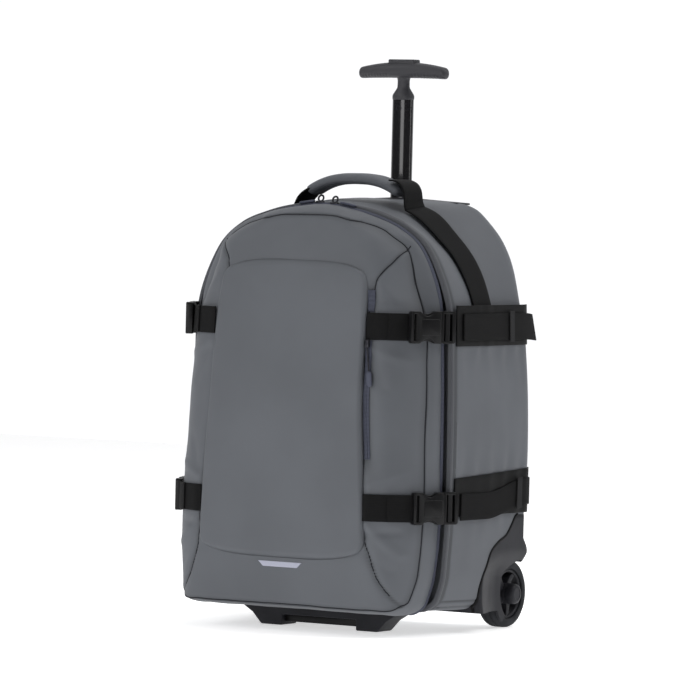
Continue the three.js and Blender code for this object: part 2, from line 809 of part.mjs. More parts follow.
const handleSides = 10;
function makeCarryHandle() {
  const fall = handleEndDrop + handleThickness / 2;
  const rings = [-1, -0.9, -0.6, -0.3, 0, 0.3, 0.6, 0.9, 1].map((share) => {
    const middle = handleTop - handleThickness / 2 - fall * Math.abs(share) ** 3;
    const size = Math.abs(share) === 1 ? handleEndWidth : 1;
    const points = [];
    for (let n = 0; n < handleSides; n += 1) {
      const angle = (n / handleSides) * Math.PI * 2;
      const y = handleDepth + squared(Math.cos(angle), 0.6) * (handleWidth / 2) * size;
      const z = middle + squared(Math.sin(angle), 0.7) * (handleThickness / 2) * size;
      points.push(new THREE.Vector3(share * handleHalfLength, y, z));
    }
    return points;
  });
  return loft(rings);
}

// Telescoping handle: an oval tube that slides in a guide behind the back panel
const guideOuterWidth = poleWidth + 2 * (guideClearance + guideWall);
const guideOuterDepth = poleDepth + 2 * (guideClearance + guideWall);
const poleY = backPlane - clothWall - gap - guideOuterDepth / 2;
const topPlateBottom = bodyTop + gap;

function tube(width, depth, wall, fromZ, toZ) {
  const inside = ovalPost(width - 2 * wall, depth - 2 * wall, poleY, fromZ - 1, toZ + 1);
  return cut(ovalPost(width, depth, poleY, fromZ, toZ), inside);
}

function makeGuide() {
  const foot = bodyBottom + clothWall + backCorner * topInsetShare + gap;
  return tube(guideOuterWidth, guideOuterDepth, guideWall, foot, bodyTop);
}

function makePole() {
  const hole = rivetRod(rivetRadius + gap, -1, poleWall + 1);
  return cut(tube(poleWidth, poleDepth, poleWall, poleTop - poleLength, poleTop), hole);
}

// A short rod through the front wall of the tube, from one depth in the wall to another
function rivetRod(radius, from, to) {
  const rod = new THREE.CylinderGeometry(radius, radius, to - from, 14);
  rod.translate(0, poleY - poleDepth / 2 + (from + to) / 2, poleTop - rivetDrop);
  return rod;
}

function makeTopPlate() {
  const halfDepth = topPlateWidth / 2;
  const plate = new THREE.BoxGeometry(2 * topPlateHalfLength, topPlateWidth, topPlateThickness);
  plate.translate(0, poleY - (halfDepth - guideOuterDepth / 2), topPlateBottom + topPlateThickness / 2);
  const hole = ovalPost(poleWidth + 2 * guideClearance, poleDepth + 2 * guideClearance, poleY,
    topPlateBottom - 1, topPlateBottom + topPlateThickness + 1);
  return cut(plate, hole);
}

// Grip: a collar and a neck under an arched cross bar
const neckTop = gripMiddle - gripThickness / 2 + 2;
const buttonClearance = 0.4;
const collarLip = 0.6;
const gripSides = 12;
const gripSag = 2;              // how far the underside of the bar rises towards its ends
const gripTopFall = 3;          // how far the top of the bar falls towards its ends
function makeGrip() {
  const profile = [
    [0, poleTop + gap],
    [poleWidth / 2, poleTop + gap],
    [poleWidth / 2 + collarLip, poleTop + gap + collarHeight / 5],
    [neckWidth / 2, poleTop + collarHeight],
    [neckWidth / 2, neckTop + 2],
    [0, neckTop + 2],
  ];
  const neck = new THREE.LatheGeometry(profile.map(([r, z]) => new THREE.Vector2(r, z)), 20);
  neck.rotateX(Math.PI / 2);
  neck.scale(1, poleDepth / poleWidth, 1);
  neck.translate(0, poleY, 0);
  const bar = loft([-1, -0.96, -0.8, -0.5, 0, 0.5, 0.8, 0.96, 1].map((share) => {
    const round = share * share;
    const tip = Math.abs(share) === 1 ? 0.6 : 1;
    const tall = lerp(gripThickness, gripEnd, round) * tip;
    const deep = lerp(gripDepth, gripEnd, round) * tip;
    const low = gripMiddle - gripThickness / 2 + gripSag * round;
    const middle = low + lerp(gripThickness, gripEnd, round) / 2 - gripTopFall * round;
    const points = [];
    for (let n = 0; n < gripSides; n += 1) {
      const angle = (n / gripSides) * Math.PI * 2;
      const y = poleY + Math.cos(angle) * deep / 2;
      points.push(new THREE.Vector3(share * gripLength / 2, y, middle + Math.sin(angle) * tall / 2));
    }
    return points;
  }));
  const wellLength = buttonLength + 2 * buttonClearance;
  const wellWidth = buttonWidth + 2 * buttonClearance;
  const well = new THREE.BoxGeometry(wellLength, wellWidth, gripThickness);
  well.translate(0, poleY, buttonSeat - buttonSink - gap + gripThickness / 2);
  return cut(join(neck, bar), well);
}

const buttonDepth = 6;          // how deep the button's foot lies in the bar
const buttonSeat = gripMiddle + gripThickness / 2 - buttonDepth;
function makeButton() {
  const height = gripMiddle + gripThickness / 2 + buttonProud - buttonSeat;
  const button = new THREE.BoxGeometry(buttonLength, buttonWidth, height);
  button.translate(0, poleY, buttonSeat + height / 2);
  return button;
}

// The rivet fills its hole. Its flat head lies a little under the crown of the tube, to pass the guide.
function makeRivet() {
  return rivetRod(rivetRadius, gap, poleWall - gap);
}

// Wheel housing: its front and upper edge, from the bottom up. along is a share of the way from the
// front of the housing to the back panel, and up is a share of its height.
const housingEdge = [
  { along: 0, up: 0.097 },
  { along: 0, up: 0.345 },
  { along: 0.093, up: 0.496 },
  { along: 0.18, up: 0.637 },
  { along: 0.307, up: 0.721 },
  { along: 0.473, up: 0.788 },
  { along: 0.561, up: 0.885 },
  { along: 0.644, up: 0.982 },
];
const housingToe = 0.044;       // the bottom corner lies this share behind the front
const housingHeel = 0.688;      // the top runs level from this share to the back panel
const lugDepth = backPlane + lugReach;
const lugTop = lugBottom + 13;
const lugShoulder = 9;          // the lug slopes up to the back panel over two such steps

// The outline in depth and height. The hole that it fills is grown by a gap, and runs out past the cloth.
function housingOutline(margin = 0) {
  const past = margin > 0 ? 20 : 0;
  const depthAt = (share) => lerp(housingFront, backPlane, share);
  const edge = housingEdge.map(({ along, up }) => [
    depthAt(along) - margin,
    lerp(housingBottom, housingTop, up) + (along > 0 ? margin : 0),
  ]);
  return outline([
    [depthAt(housingToe) - margin, housingBottom - margin - past],
    ...edge,
    [depthAt(housingHeel), housingTop + margin],
    [backPlane + past, housingTop + margin],
    [backPlane + past, lugTop + 2 * lugShoulder],
    [lerp(backPlane, lugDepth, 0.57) + past, lugTop + lugShoulder],
    [lugDepth + past, lugTop],
    [lugDepth + past, lugBottom],
    [lugDepth + past, housingBottom - margin - past],
  ]);
}

// The outer face runs in towards the face of the wheel, from this share of the way along
const reliefStart = -0.07;
function makeHousing() {
  const body = sidePlate(housingOutline(), housingInner, housingOuter);
  const wellFrom = housingInner + innerPlate;
  const beyond = housingOuter + 2 * lugReach;
  const behindLug = lugDepth + lugReach;
  const well = rodAlongX(wheelRadius + wellClearance, wellFrom, beyond, wheelCentre, wheelRadius, 40);
  const behindFrom = wheelCentre - wheelRadius / 2;
  const behind = sidePlate(outline([
    [behindFrom, -gap], [behindLug, -gap], [behindLug, lugBottom], [behindFrom, lugBottom],
  ]), wellFrom, beyond);
  const wheelFace = tyreInner + tyreWidth + wheelFaceClearance;
  const slopeStart = lerp(housingFront, backPlane, reliefStart);
  const slopeEnd = wheelCentre - wheelRadius;
  const outside = 2 * beyond - housingOuter;
  const levels = [
    { z: -gap, shift: 0 },
    { z: wheelRadius * 1.5, shift: 0 },
    { z: wheelRadius * 2.2, shift: wheelRadius / 2 },
  ];
  const relief = loft(levels.map(({ z, shift }) => [
    new THREE.Vector3(housingOuter + 2 + shift, slopeStart, z),
    new THREE.Vector3(wheelFace + shift, slopeEnd, z),
    new THREE.Vector3(wheelFace + shift, behindLug, z),
    new THREE.Vector3(outside, behindLug, z),
    new THREE.Vector3(outside, slopeStart, z),
  ]));
  const axle = rodAlongX(axleRadius, wellFrom - 2, axleEnd, wheelCentre, wheelRadius, 16);
  return join(cut(body, well, behind, relief), axle);
}

// Wheel: a rubber tyre on a rim with swept spokes, and a cap over the hub
const rimRadius = wheelRadius - tyreThickness;
const rimThickness = 3;
const spokeWidth = 7;
const spokeSweep = 0.5;
const treadShoulder = 7;        // how far the tread rounds off at each side
function makeTyre() {
  const half = tyreWidth / 2;
  const inner = rimRadius + gap;
  const profile = [
    [inner, -half + 2],
    [wheelRadius - 5, -half],
    [wheelRadius - 1.5, -half + 2.5],
    [wheelRadius, -half + treadShoulder],
    [wheelRadius, half - treadShoulder],
    [wheelRadius - 1.5, half - 2.5],
    [wheelRadius - 5, half],
    [inner, half - 2],
    [inner, -half + 2],
  ];
  const tyre = new THREE.LatheGeometry(profile.map(([r, x]) => new THREE.Vector2(r, x)), 36);
  tyre.rotateZ(Math.PI / 2);
  tyre.translate(tyreInner + half, wheelCentre, wheelRadius);
  return turnedOut(tyre);
}

function makeRim() {
  const low = tyreInner + 3;
  const high = tyreInner + tyreWidth - 3;
  const ringOuter = rodAlongX(rimRadius, low, high, wheelCentre, wheelRadius, 36);
  const ringInner = rodAlongX(rimRadius - rimThickness, low - 1, high + 1, wheelCentre, wheelRadius, 36);
  const hub = rodAlongX(hubRadius, housingInner + innerPlate + gap, high + 2, wheelCentre, wheelRadius, 20);
  const spokes = [];
  for (let n = 0; n < spokeCount; n += 1) {
    const angle = (n / spokeCount) * Math.PI * 2;
    const at = (radius, turn) => [
      wheelCentre + radius * Math.cos(angle + turn),
      wheelRadius + radius * Math.sin(angle + turn),
    ];
    const swing = (radius) => (spokeSweep * (radius - hubRadius)) / rimRadius;
    const side = spokeWidth / 2;
    const from = hubRadius - 3;
    const to = rimRadius - 1;
    spokes.push(sidePlate(outline([
      at(from, -side / from),
      at(to, swing(to) - side / to),
      at(to, swing(to) + side / to),
      at(from, side / from),
    ]), low + 4, high - 1));
  }
  const boreRadius = axleRadius + axleClearance;
  const bore = rodAlongX(boreRadius, 0, axleEnd + axleClearance, wheelCentre, wheelRadius, 16);
  return cut(join(cut(ringOuter, ringInner), hub, ...spokes), bore);
}

function makeCap() {
  const from = tyreInner + tyreWidth - 1 + gap;
  const to = tyreInner + tyreWidth + capProud;
  const profile = [[0, from], [hubRadius, from], [hubRadius, to - 3], [hubRadius - 2.5, to], [0, to]];
  const cap = new THREE.LatheGeometry(profile.map(([r, x]) => new THREE.Vector2(r, x)), 20);
  cap.rotateZ(-Math.PI / 2);
  cap.translate(0, wheelCentre, wheelRadius);
  return turnedOut(cap);
}

// Foot: a moulded block with two pads and a glossy bar in the recess between them
const footTop = bodyBottom - gap;
const footSideX = footPadOuter + footSlope * 1.25;
function makeFoot() {
  const right = [
    [footPadInner, footBarHeight + footBarThickness],
    [footPadInner, 0],
    [footPadOuter, 0],
    [footPadOuter + footSlope / 2, footFlareHeight],
    [footSideX, footTop - 4],
    [footSideX, footTop],
  ];
  const left = right.slice().reverse().map(([x, z]) => [-x, z]);
  return frontPlate(outline([...right, ...left]), footFront, footFront + footDepth);
}

// The bar hangs under the roof of the recess
function makeFootBar() {
  const bar = new THREE.BoxGeometry(2 * (footPadInner - gap), footDepth * 0.55, footBarThickness);
  bar.translate(0, footFront + footDepth / 2, footBarHeight + footBarThickness / 2 - gap);
  return bar;
}

// Shoulder straps: padded bands that lie on the back panel, with an anchor webbing at the lower end
// out is a share of rearHalfWidth and up is a share of the height of the body
const shoulderTable = [
  { out: 0.226, up: 0.928 },
  { out: 0.333, up: 0.852 },
  { out: 0.462, up: 0.725 },
  { out: 0.548, up: 0.597 },
  { out: 0.581, up: 0.496 },
];
const shoulderPath = shoulderTable.map(({ out, up }) => ({
  x: out * rearHalfWidth,
  z: lerp(bodyBottom, bodyTop, up),
}));
const anchorEnd = { x: 0.817 * rearHalfWidth, z: lerp(bodyBottom, bodyTop, 0.356) };
const shoulderSection = [
  [-1, 0.25], [-0.85, 0], [0.85, 0], [1, 0.25],
  [1, 0.7], [0.7, 1], [-0.7, 1], [-1, 0.7],
];
const shoulderLean = 6;         // the outer edge of the strap hangs this much lower than its middle
function makeShoulderStrap() {
  const rings = shoulderPath.map(({ x, z }, n) => {
    const end = n === 0 || n === shoulderPath.length - 1;
    const half = (shoulderWidth / 2) * (end ? 0.85 : 1);
    const lift = backPlane + gap;
    const full = shoulderThickness * (end ? 0.7 : 1);
    return shoulderSection.map(([across, deep]) => new THREE.Vector3(
      x + across * half,
      lift + deep * full,
      z - across * shoulderLean,
    ));
  });
  return loft(rings);
}

function makeAnchor() {
  const last = shoulderPath[shoulderPath.length - 1];
  const below = 1.75 * shoulderLean + gap * 11;
  const from = new THREE.Vector3(last.x + shoulderLean, 0, last.z - below);
  const to = new THREE.Vector3(anchorEnd.x, 0, anchorEnd.z);
  const along = to.clone().sub(from).normalize();
  const across = new THREE.Vector3(-along.z, 0, along.x).multiplyScalar(anchorWidth / 2);
  const stations = [from, to].map((point) => ({
    low: point.clone().sub(across).setY(backPlane),
    high: point.clone().add(across).setY(backPlane),
    out: new THREE.Vector3(0, 1, 0),
  }));
  return ribbon(stations, gap, webbingThickness);
}

// Zip sliders on the main zip, each with a short pull, and two cloth tabs beside them
const sliders = [
  { side: 'left', slider: -5, pull: -23 },
  { side: 'right', slider: 14, pull: 33 },
];
const sliderLength = 12;
const pullLength = 22;
function zipHeight(place) {
  const x = Math.abs(place);
  const row = outlineRows.findIndex((_, n) => n > crownRow - 2 && rowPoint(n, 'zip').x <= x);
  const outer = rowPoint(row - 1, 'zip');
  const inner = rowPoint(row, 'zip');
  return lerp(inner.z, outer.z, (x - inner.x) / (outer.x - inner.x));
}

function topPiece(x, length, width, height, y, lift) {
  const piece = new THREE.BoxGeometry(length, width, height);
  const slope = Math.atan2(zipHeight(x + 4) - zipHeight(x - 4), 8);
  piece.translate(0, 0, height / 2 + lift);
  piece.rotateY(-slope);
  piece.translate(x, y, zipHeight(x));
  return piece;
}

const steel = { metalness: 0.8, roughness: 0.4 };
const cloth = { metalness: 0, roughness: 0.85 };
const plastic = { metalness: 0, roughness: 0.5 };
const gloss = { metalness: 0.3, roughness: 0.25 };
const bag = new THREE.Group();

function add(name, geometry, color, finish) {
  const mesh = new THREE.Mesh(geometry, new THREE.MeshStandardMaterial({ color, ...finish }));
  mesh.name = name;
  bag.add(mesh);
}

function addPair(name, geometry, color, finish) {
  add(`${name}_right`, geometry, color, finish);
  add(`${name}_left`, mirrored(geometry), color, finish);
}

const grey = 0x6a6e72;
const black = 0x242423;
const charcoal = 0x3e3f43;
const slate = 0x484c5c;

add('main_shell', makeMainShell(), grey, cloth);
add('front_shell', makeFrontShell(), grey, cloth);
add('front_panel', makePanel(), grey, cloth);
const strapHalf = strapWidth / 2 + gap * 2;
add('pocket_zip_lower', makePocketZip(pocketZipBottom, upperStrapHeight - strapHalf), slate, cloth);
add('pocket_zip_upper', makePocketZip(upperStrapHeight + strapHalf, pocketZipTop), slate, cloth);
add('reflective_mark', makeMark(), 0xa5a8b9, gloss);
const zipHalfOutline = outlineRows.map((_, row) => rowPoint(row, 'zip'));
const flapOutline = stationHalves[0].map((point) => ({ x: point.x - 3, z: point.z - 1 }));
const zipStart = zipPlane + gap;
const zipEnd = zipStart + zipWidth;
const flapStart = zipEnd + gap;
add('main_zip', outlineBand(zipHalfOutline, zipStart, zipEnd, webbingThickness), slate, cloth);
add('zip_flap', outlineBand(flapOutline, flapStart, mainFrontEdge - gap, webbingThickness * 3), grey, cloth);

addPair('upper_wing', makeUpperWing(), black, cloth);
addPair('lower_wing', makeLowerWing(), black, cloth);
addPair('upper_side_webbing', makeUpperSideWebbing(), black, cloth);
addPair('lower_side_webbing', makeLowerSideWebbing(), black, cloth);
addPair('upper_keeper', makeKeeper(upperKeeperDepth, () => upperStrapHeight), black, cloth);
addPair('lower_keeper', makeKeeper(lowerKeeperDepth, lowerStrapMiddle), black, cloth);
addPair('upper_front_webbing', makeFrontWebbing(upperStrapHeight), black, cloth);
addPair('lower_front_webbing', makeFrontWebbing(lowerStrapHeight), black, cloth);
addPair('upper_buckle', makeBuckle(upperStrapHeight), black, gloss);
addPair('lower_buckle', makeBuckle(lowerStrapHeight), black, gloss);
addPair('handle_webbing', makeHandleWebbing(), black, cloth);
add('carry_handle', makeCarryHandle(), grey, cloth);
addPair('shoulder_strap', makeShoulderStrap(), grey, cloth);
addPair('strap_anchor', makeAnchor(), black, cloth);

const zipMiddle = zipPlane + gap + zipWidth / 2;
for (const { side, slider, pull } of sliders) {
  add(`zip_slider_${side}`, topPiece(slider, sliderLength, zipWidth - 1, 4, zipMiddle, gap), black, steel);
  add(`zip_pull_${side}`, topPiece(pull, pullLength, 5, 2, zipMiddle, gap), slate, cloth);
}

add('top_plate', makeTopPlate(), black, plastic);
add('guide_tube', makeGuide(), charcoal, plastic);
add('pole', makePole(), 0x101012, gloss);
add('grip', makeGrip(), charcoal, plastic);
add('grip_button', makeButton(), charcoal, plastic);
add('pole_rivet', makeRivet(), black, steel);

addPair('wheel_housing', makeHousing(), charcoal, plastic);
addPair('wheel_tyre', makeTyre(), 0x2c2c2e, cloth);
addPair('wheel_rim', makeRim(), charcoal, plastic);
addPair('wheel_cap', makeCap(), charcoal, plastic);
add('foot', makeFoot(), charcoal, plastic);
add('foot_bar', makeFootBar(), black, gloss);

// The origin goes to the middle of the bag's depth
const mostProud = Math.max(...frontLine.map((row) => row.proud));
const frontReach = zipPlane - mostProud * frontDepth - panelLift - panelThickness;
const backReach = wheelCentre + wheelRadius;
bag.position.y = -(frontReach + backReach) / 2;
const model = new THREE.Group();
model.add(bag);

export default model;
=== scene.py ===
import math

import bmesh
import bpy
import numpy as np
from mathutils import Matrix, Vector, noise
from mathutils.bvhtree import BVHTree


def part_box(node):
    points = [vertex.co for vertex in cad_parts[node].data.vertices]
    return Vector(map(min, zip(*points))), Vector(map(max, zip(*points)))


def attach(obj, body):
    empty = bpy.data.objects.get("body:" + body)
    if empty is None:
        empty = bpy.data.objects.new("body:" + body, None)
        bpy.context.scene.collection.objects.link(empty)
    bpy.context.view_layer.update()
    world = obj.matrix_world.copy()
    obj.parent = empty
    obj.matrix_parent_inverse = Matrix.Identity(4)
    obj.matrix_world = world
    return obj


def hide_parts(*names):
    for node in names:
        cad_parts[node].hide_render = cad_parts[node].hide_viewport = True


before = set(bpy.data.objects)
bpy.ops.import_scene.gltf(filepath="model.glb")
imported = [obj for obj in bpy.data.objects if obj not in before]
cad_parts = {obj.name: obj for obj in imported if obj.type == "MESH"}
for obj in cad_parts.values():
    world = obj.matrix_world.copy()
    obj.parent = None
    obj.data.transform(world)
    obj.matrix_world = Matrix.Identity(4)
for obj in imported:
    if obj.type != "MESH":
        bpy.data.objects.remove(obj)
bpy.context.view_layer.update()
mm = 0.001

# Studio. A pale floor that meets a white backdrop, broad soft lights from the left, the front,
# the right and above, and the camera of the photograph: a long lens, nearly level.
view_azimuth = math.radians(32.0)
view_elevation = math.radians(1.99)
view_roll = math.radians(1.38)
view_distance = 6.5505
sensor_width = 36
lens_length = 288.04
sight_end = 100
look_at = Vector((7.887 * mm, -20.77 * mm, 323.86 * mm))
backwards = Vector((
    math.sin(view_azimuth) * math.cos(view_elevation),
    -math.cos(view_azimuth) * math.cos(view_elevation),
    math.sin(view_elevation),
))
camera_data = bpy.data.cameras.new("camera")
camera_data.sensor_width = sensor_width
camera_data.lens = lens_length
camera_data.clip_end = sight_end
camera = bpy.data.objects.new("camera", camera_data)
bpy.context.scene.collection.objects.link(camera)
camera.location = look_at + backwards * view_distance
roll = Matrix.Rotation(view_roll, 3, "Z")
camera.rotation_euler = ((-backwards).to_track_quat("-Z", "Y").to_matrix() @ roll).to_euler()
bpy.context.scene.camera = camera
bpy.context.scene.view_settings.view_transform = "Standard"


light_aim = Vector((0, 0, 0.3))


def area_light(name, place, size, power):
    data = bpy.data.lights.new(name, "AREA")
    data.shape = "RECTANGLE"
    data.size, data.size_y = size
    data.energy = power
    light = bpy.data.objects.new(name, data)
    light.location = place
    light.rotation_euler = (light_aim - Vector(place)).to_track_quat("-Z", "Y").to_euler()
    bpy.context.scene.collection.objects.link(light)


area_light("left", (-2.2, -2.3, 2.7), (2.0, 2.0), 42)
area_light("front", (-0.15, -3.4, 0.95), (1.9, 1.7), 28)
area_light("right", (2.7, 1.3, 3.1), (2.0, 2.0), 66)
area_light("top", (0.2, 0.4, 3.4), (2.0, 2.0), 34)
area_light("edge", (3.0, 1.8, 0.8), (0.4, 1.5), 6)

# The backdrop behind the object is white. The rest of the studio is dim, so glossy blacks stay black.
world = bpy.data.worlds.new("studio")
world.use_nodes = True
world_tree = world.node_tree
direction = world_tree.nodes.new("ShaderNodeTexCoord")
facing = world_tree.nodes.new("ShaderNodeVectorMath")
facing.operation = "DOT_PRODUCT"
facing.inputs[1].default_value = -backwards
backdrop = world_tree.nodes.new("ShaderNodeMapRange")
backdrop.interpolation_type = "SMOOTHSTEP"
for socket, number in (("From Min", 0.35), ("From Max", 0.75), ("To Min", 0.12), ("To Max", 1.05)):
    backdrop.inputs[socket].default_value = number
world_tree.links.new(direction.outputs["Generated"], facing.inputs[0])
world_tree.links.new(facing.outputs["Value"], backdrop.inputs[0])
world_tree.links.new(backdrop.outputs[0], world_tree.nodes["Background"].inputs["Strength"])
world_tree.nodes["Background"].inputs["Color"].default_value = (0.98, 0.985, 1.0, 1)
bpy.context.scene.world = world


class Value:
    """An output of a node, so that shader maths reads as plain expressions"""

    def __init__(self, finish, socket):
        self.finish = finish
        self.socket = socket

    def out(self, name):
        return Value(self.finish, self.socket.node.outputs[name])

    def maths(self, operation, *others):
        sockets = dict(enumerate((self, *others)))
        return self.finish.node("ShaderNodeMath", {"operation": operation}, sockets)

    def __add__(self, other):
        return self.maths("ADD", other)

    def __sub__(self, other):
        return self.maths("SUBTRACT", other)

    def __rsub__(self, other):
        return (self * -1) + other

    def __mul__(self, other):
        return self.maths("MULTIPLY", other)

    __radd__ = __add__
    __rmul__ = __mul__

    def sine(self):
        return self.maths("SINE")

    def size(self):
        return self.maths("ABSOLUTE")

    def between(self, low, high):
        settings = {"interpolation_type": "SMOOTHSTEP"}
        return self.finish.node("ShaderNodeMapRange", settings, {0: self, 1: low, 2: high})


class Finish:
    """A material and the nodes that make its surface"""

    def __init__(self, name, **shader):
        self.material = bpy.data.materials.new(name)
        self.material.use_nodes = True
        self.tree = self.material.node_tree
        self.shader = self.tree.nodes["Principled BSDF"]
        for socket, number in shader.items():
            self.shader.inputs[socket.replace("_", " ")].default_value = number

    def node(self, kind, settings, sockets):
        made = self.tree.nodes.new(kind)
        for name, setting in settings.items():
            setattr(made, name, setting)
        for name, value in sockets.items():
            if isinstance(value, Value):
                self.tree.links.new(value.socket, made.inputs[name])
            else:
                made.inputs[name].default_value = value
        return Value(self, made.outputs[0])

    def axes(self, place):
        split = self.node("ShaderNodeSeparateXYZ", {}, {0: place})
        return split, split.out("Y"), split.out("Z")

    def coordinates(self):
        return self.node("ShaderNodeTexCoord", {}, {}).out("Object")

    def noise(self, scale, detail, place):
        return self.node("ShaderNodeTexNoise", {}, {"Scale": scale, "Detail": detail, "Vector": place})

    def mix(self, factor, first, second):
        made = self.node("ShaderNodeMix", {"data_type": "RGBA"}, {0: factor, 6: first, 7: second})
        return Value(self, made.socket.node.outputs[2])

    def bump(self, height, distance, strength, under=None):
        sockets = {"Height": height, "Distance": distance, "Strength": strength}
        if under is not None:
            sockets["Normal"] = under
        return self.node("ShaderNodeBump", {}, sockets)

    def feed(self, **sockets):
        for name, value in sockets.items():
            self.tree.links.new(value.socket, self.shader.inputs[name.replace("_", " ")])
        return self.material


floor_reach = 3.2
floor_finish = Finish("pale_floor", Roughness=0.9, Emission_Color=(1, 1, 1, 1), Emission_Strength=0.55)
floor_tone = floor_finish.noise(2.0, 1.0, floor_finish.coordinates())
floor_colour = floor_finish.mix(floor_tone, (0.93, 0.93, 0.935, 1), (0.95, 0.95, 0.955, 1))
floor_material = floor_finish.feed(Base_Color=floor_colour)

floor_mesh = bpy.data.meshes.new("floor")
floor_form = bmesh.new()
bmesh.ops.create_grid(floor_form, x_segments=2, y_segments=2, size=floor_reach)
floor_form.to_mesh(floor_mesh)
floor = bpy.data.objects.new("floor", floor_mesh)
bpy.context.scene.collection.objects.link(floor)
floor_mesh.materials.append(floor_material)


# Coated cloth of the body: polyester with a smooth matte coating over a fine plain weave.
# It is cut in panels and sewn. A seam attribute paints shade into seam folds and dips, and gives the cloth
# behind the zip the hem's darker tone.
thread_pitch = 0.75 * mm


def shade(tone, share):
    """A lighter or darker colour of a tone"""
    return tuple(value * share for value in tone) + (1,)


def make_cloth(name, tone):
    finish = Finish(name, Roughness=0.55, Specular_IOR_Level=0.3 if max(tone) > 0.05 else 0.12)
    place = finish.coordinates()
    across, deep, up = finish.axes(place)
    pitch = 2 * math.pi / thread_pitch
    warp = ((across + deep) * pitch).sine()
    weft = ((up + (deep - across) * 0.35) * pitch).sine()
    weave = warp * weft
    clouds = finish.noise(9.0, 3.0, place)
    grain = finish.noise(900.0, 2.0, place)
    dark = shade(tone, 0.93)
    cloth = finish.mix(clouds.between(0.3, 0.7), dark, shade(tone, 1.06))
    cloth = finish.mix((weave * 0.5 + 0.5) * 0.06, cloth, dark)
    # Painted shade: the seam attribute blends the cloth towards a near black tone in seam folds and dips
    seam = finish.node("ShaderNodeAttribute", {"attribute_name": "seam"}, {}).out("Fac")
    colour = finish.mix(seam, cloth, shade(tone, 0.22))
    rough = 0.52 + grain * 0.1 + clouds * 0.06
    relief = finish.bump(weave, 0.03 * mm, 0.35)
    relief = finish.bump(grain, 0.05 * mm, 0.25, relief)
    return finish.feed(Base_Color=colour, Roughness=rough, Normal=relief)


cloth_tone = (0.107, 0.114, 0.127)
cloth = make_cloth("coated_cloth", cloth_tone)


# Main compartment: the rear tub of the body. Padded cloth is sewn over a stiff frame, with round
# vertical corners at the back and a flat back panel. The wheel housings fill its lower rear corners.
def curve_through(knots, values):
    """A smooth curve through a table of values, one row for each knot"""
    knots = np.asarray(knots, float)
    values = np.asarray(values, float)
    steps = np.diff(knots)
    slopes = np.diff(values, axis=0) / steps[:, None]
    weighted = slopes[:-1] * steps[1:, None] + slopes[1:] * steps[:-1, None]
    middle = weighted / (steps[:-1] + steps[1:])[:, None]
    tangents = np.vstack([slopes[:1], middle, slopes[-1:]])

    def at(places):
        places = np.clip(np.atleast_1d(places), knots[0], knots[-1])
        n = np.clip(np.searchsorted(knots, places, side="right") - 1, 0, len(steps) - 1)
        width = steps[n][:, None]
        s = ((places - knots[n]) / steps[n])[:, None]
        start = (2 * s ** 3 - 3 * s ** 2 + 1) * values[n]
        end = (3 * s ** 2 - 2 * s ** 3) * values[n + 1]
        leaving = (s ** 3 - 2 * s ** 2 + s) * width * tangents[n]
        arriving = (s ** 3 - s ** 2) * width * tangents[n + 1]
        return (start + leaving) + (end + arriving)

    return at


# The outline of the body from the bottom middle up the side to the top middle, at five depths.
# out is a share of the half width, up a share of the height, and proud a share of the front's depth.
outline_table = [
    # seam: out, up, proud    zip: out, up     front edge      under handle    back
    (0.0, 0.0, 1.0, 0.0, 0.0, 0.0, 0.0, 0.0, 0.0, 0.0, 0.0),
    (0.40, 0.0, 0.96, 0.39, 0.0, 0.38, 0.0, 0.38, 0.0, 0.38, 0.0),
    (0.70, 0.0, 0.82, 0.68, 0.0, 0.67, 0.0, 0.68, 0.0, 0.68, 0.0),
    (0.87, 0.004, 0.65, 0.83, 0.004, 0.845, 0.004, 0.863, 0.004, 0.85, 0.004),
    (0.935, 0.02, 0.58, 0.89, 0.02, 0.907, 0.02, 0.925, 0.02, 0.91, 0.02),
    (0.97, 0.064, 0.49, 0.94, 0.062, 0.952, 0.06, 0.957, 0.06, 0.94, 0.06),
    (0.995, 0.135, 0.44, 0.98, 0.14, 0.98, 0.142, 0.975, 0.142, 0.965, 0.142),
    (1.0, 0.285, 0.38, 1.0, 0.286, 0.997, 0.282, 0.995, 0.28, 0.99, 0.28),
    (0.98, 0.44, 0.32, 1.0, 0.436, 1.0, 0.432, 1.0, 0.43, 1.0, 0.40),
    (0.965, 0.617, 0.255, 0.99, 0.628, 0.99, 0.625, 0.985, 0.62, 0.975, 0.62),
    (0.935, 0.73, 0.205, 0.98, 0.72, 0.982, 0.715, 0.965, 0.70, 0.95, 0.70),
    (0.85, 0.816, 0.17, 0.96, 0.778, 0.955, 0.77, 0.93, 0.75, 0.925, 0.735),
    (0.805, 0.876, 0.17, 0.895, 0.844, 0.89, 0.835, 0.875, 0.803, 0.865, 0.833),
    (0.76, 0.918, 0.17, 0.80, 0.902, 0.795, 0.897, 0.79, 0.854, 0.79, 0.898),
    (0.60, 0.961, 0.24, 0.645, 0.944, 0.642, 0.945, 0.655, 0.907, 0.665, 0.955),
    (0.43, 0.982, 0.32, 0.45, 0.972, 0.44, 0.975, 0.485, 0.964, 0.535, 0.99),
    (0.24, 0.996, 0.41, 0.25, 0.989, 0.25, 0.992, 0.27, 0.994, 0.32, 1.0),
    (0.0, 1.0, 0.44, 0.0, 1.0, 0.0, 1.0, 0.0, 1.0, 0.0, 1.0),
]
outline_rows = np.array(outline_table)
main_low, main_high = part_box("main_shell")
front_low, front_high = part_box("front_shell")
front_edge = main_low.y
back_plane = main_high.y
zip_plane = front_high.y
back_corner = 28 * mm
rear_start = back_plane - back_corner
handle_low, handle_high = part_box("carry_handle")
handle_depth = (handle_low.y + handle_high.y) / 2
station_sizes = {
    # first column, half width, bottom, top
    "seam": (0, 164 * mm, 31 * mm, 483 * mm),
    "zip": (3, 168 * mm, 26 * mm, 494 * mm),
    "front": (5, 177.5 * mm, 29 * mm, 495.5 * mm),
    "middle": (7, 183 * mm, 28 * mm, 499 * mm),
    "rear": (9, 186 * mm, 28 * mm, 500 * mm),
}


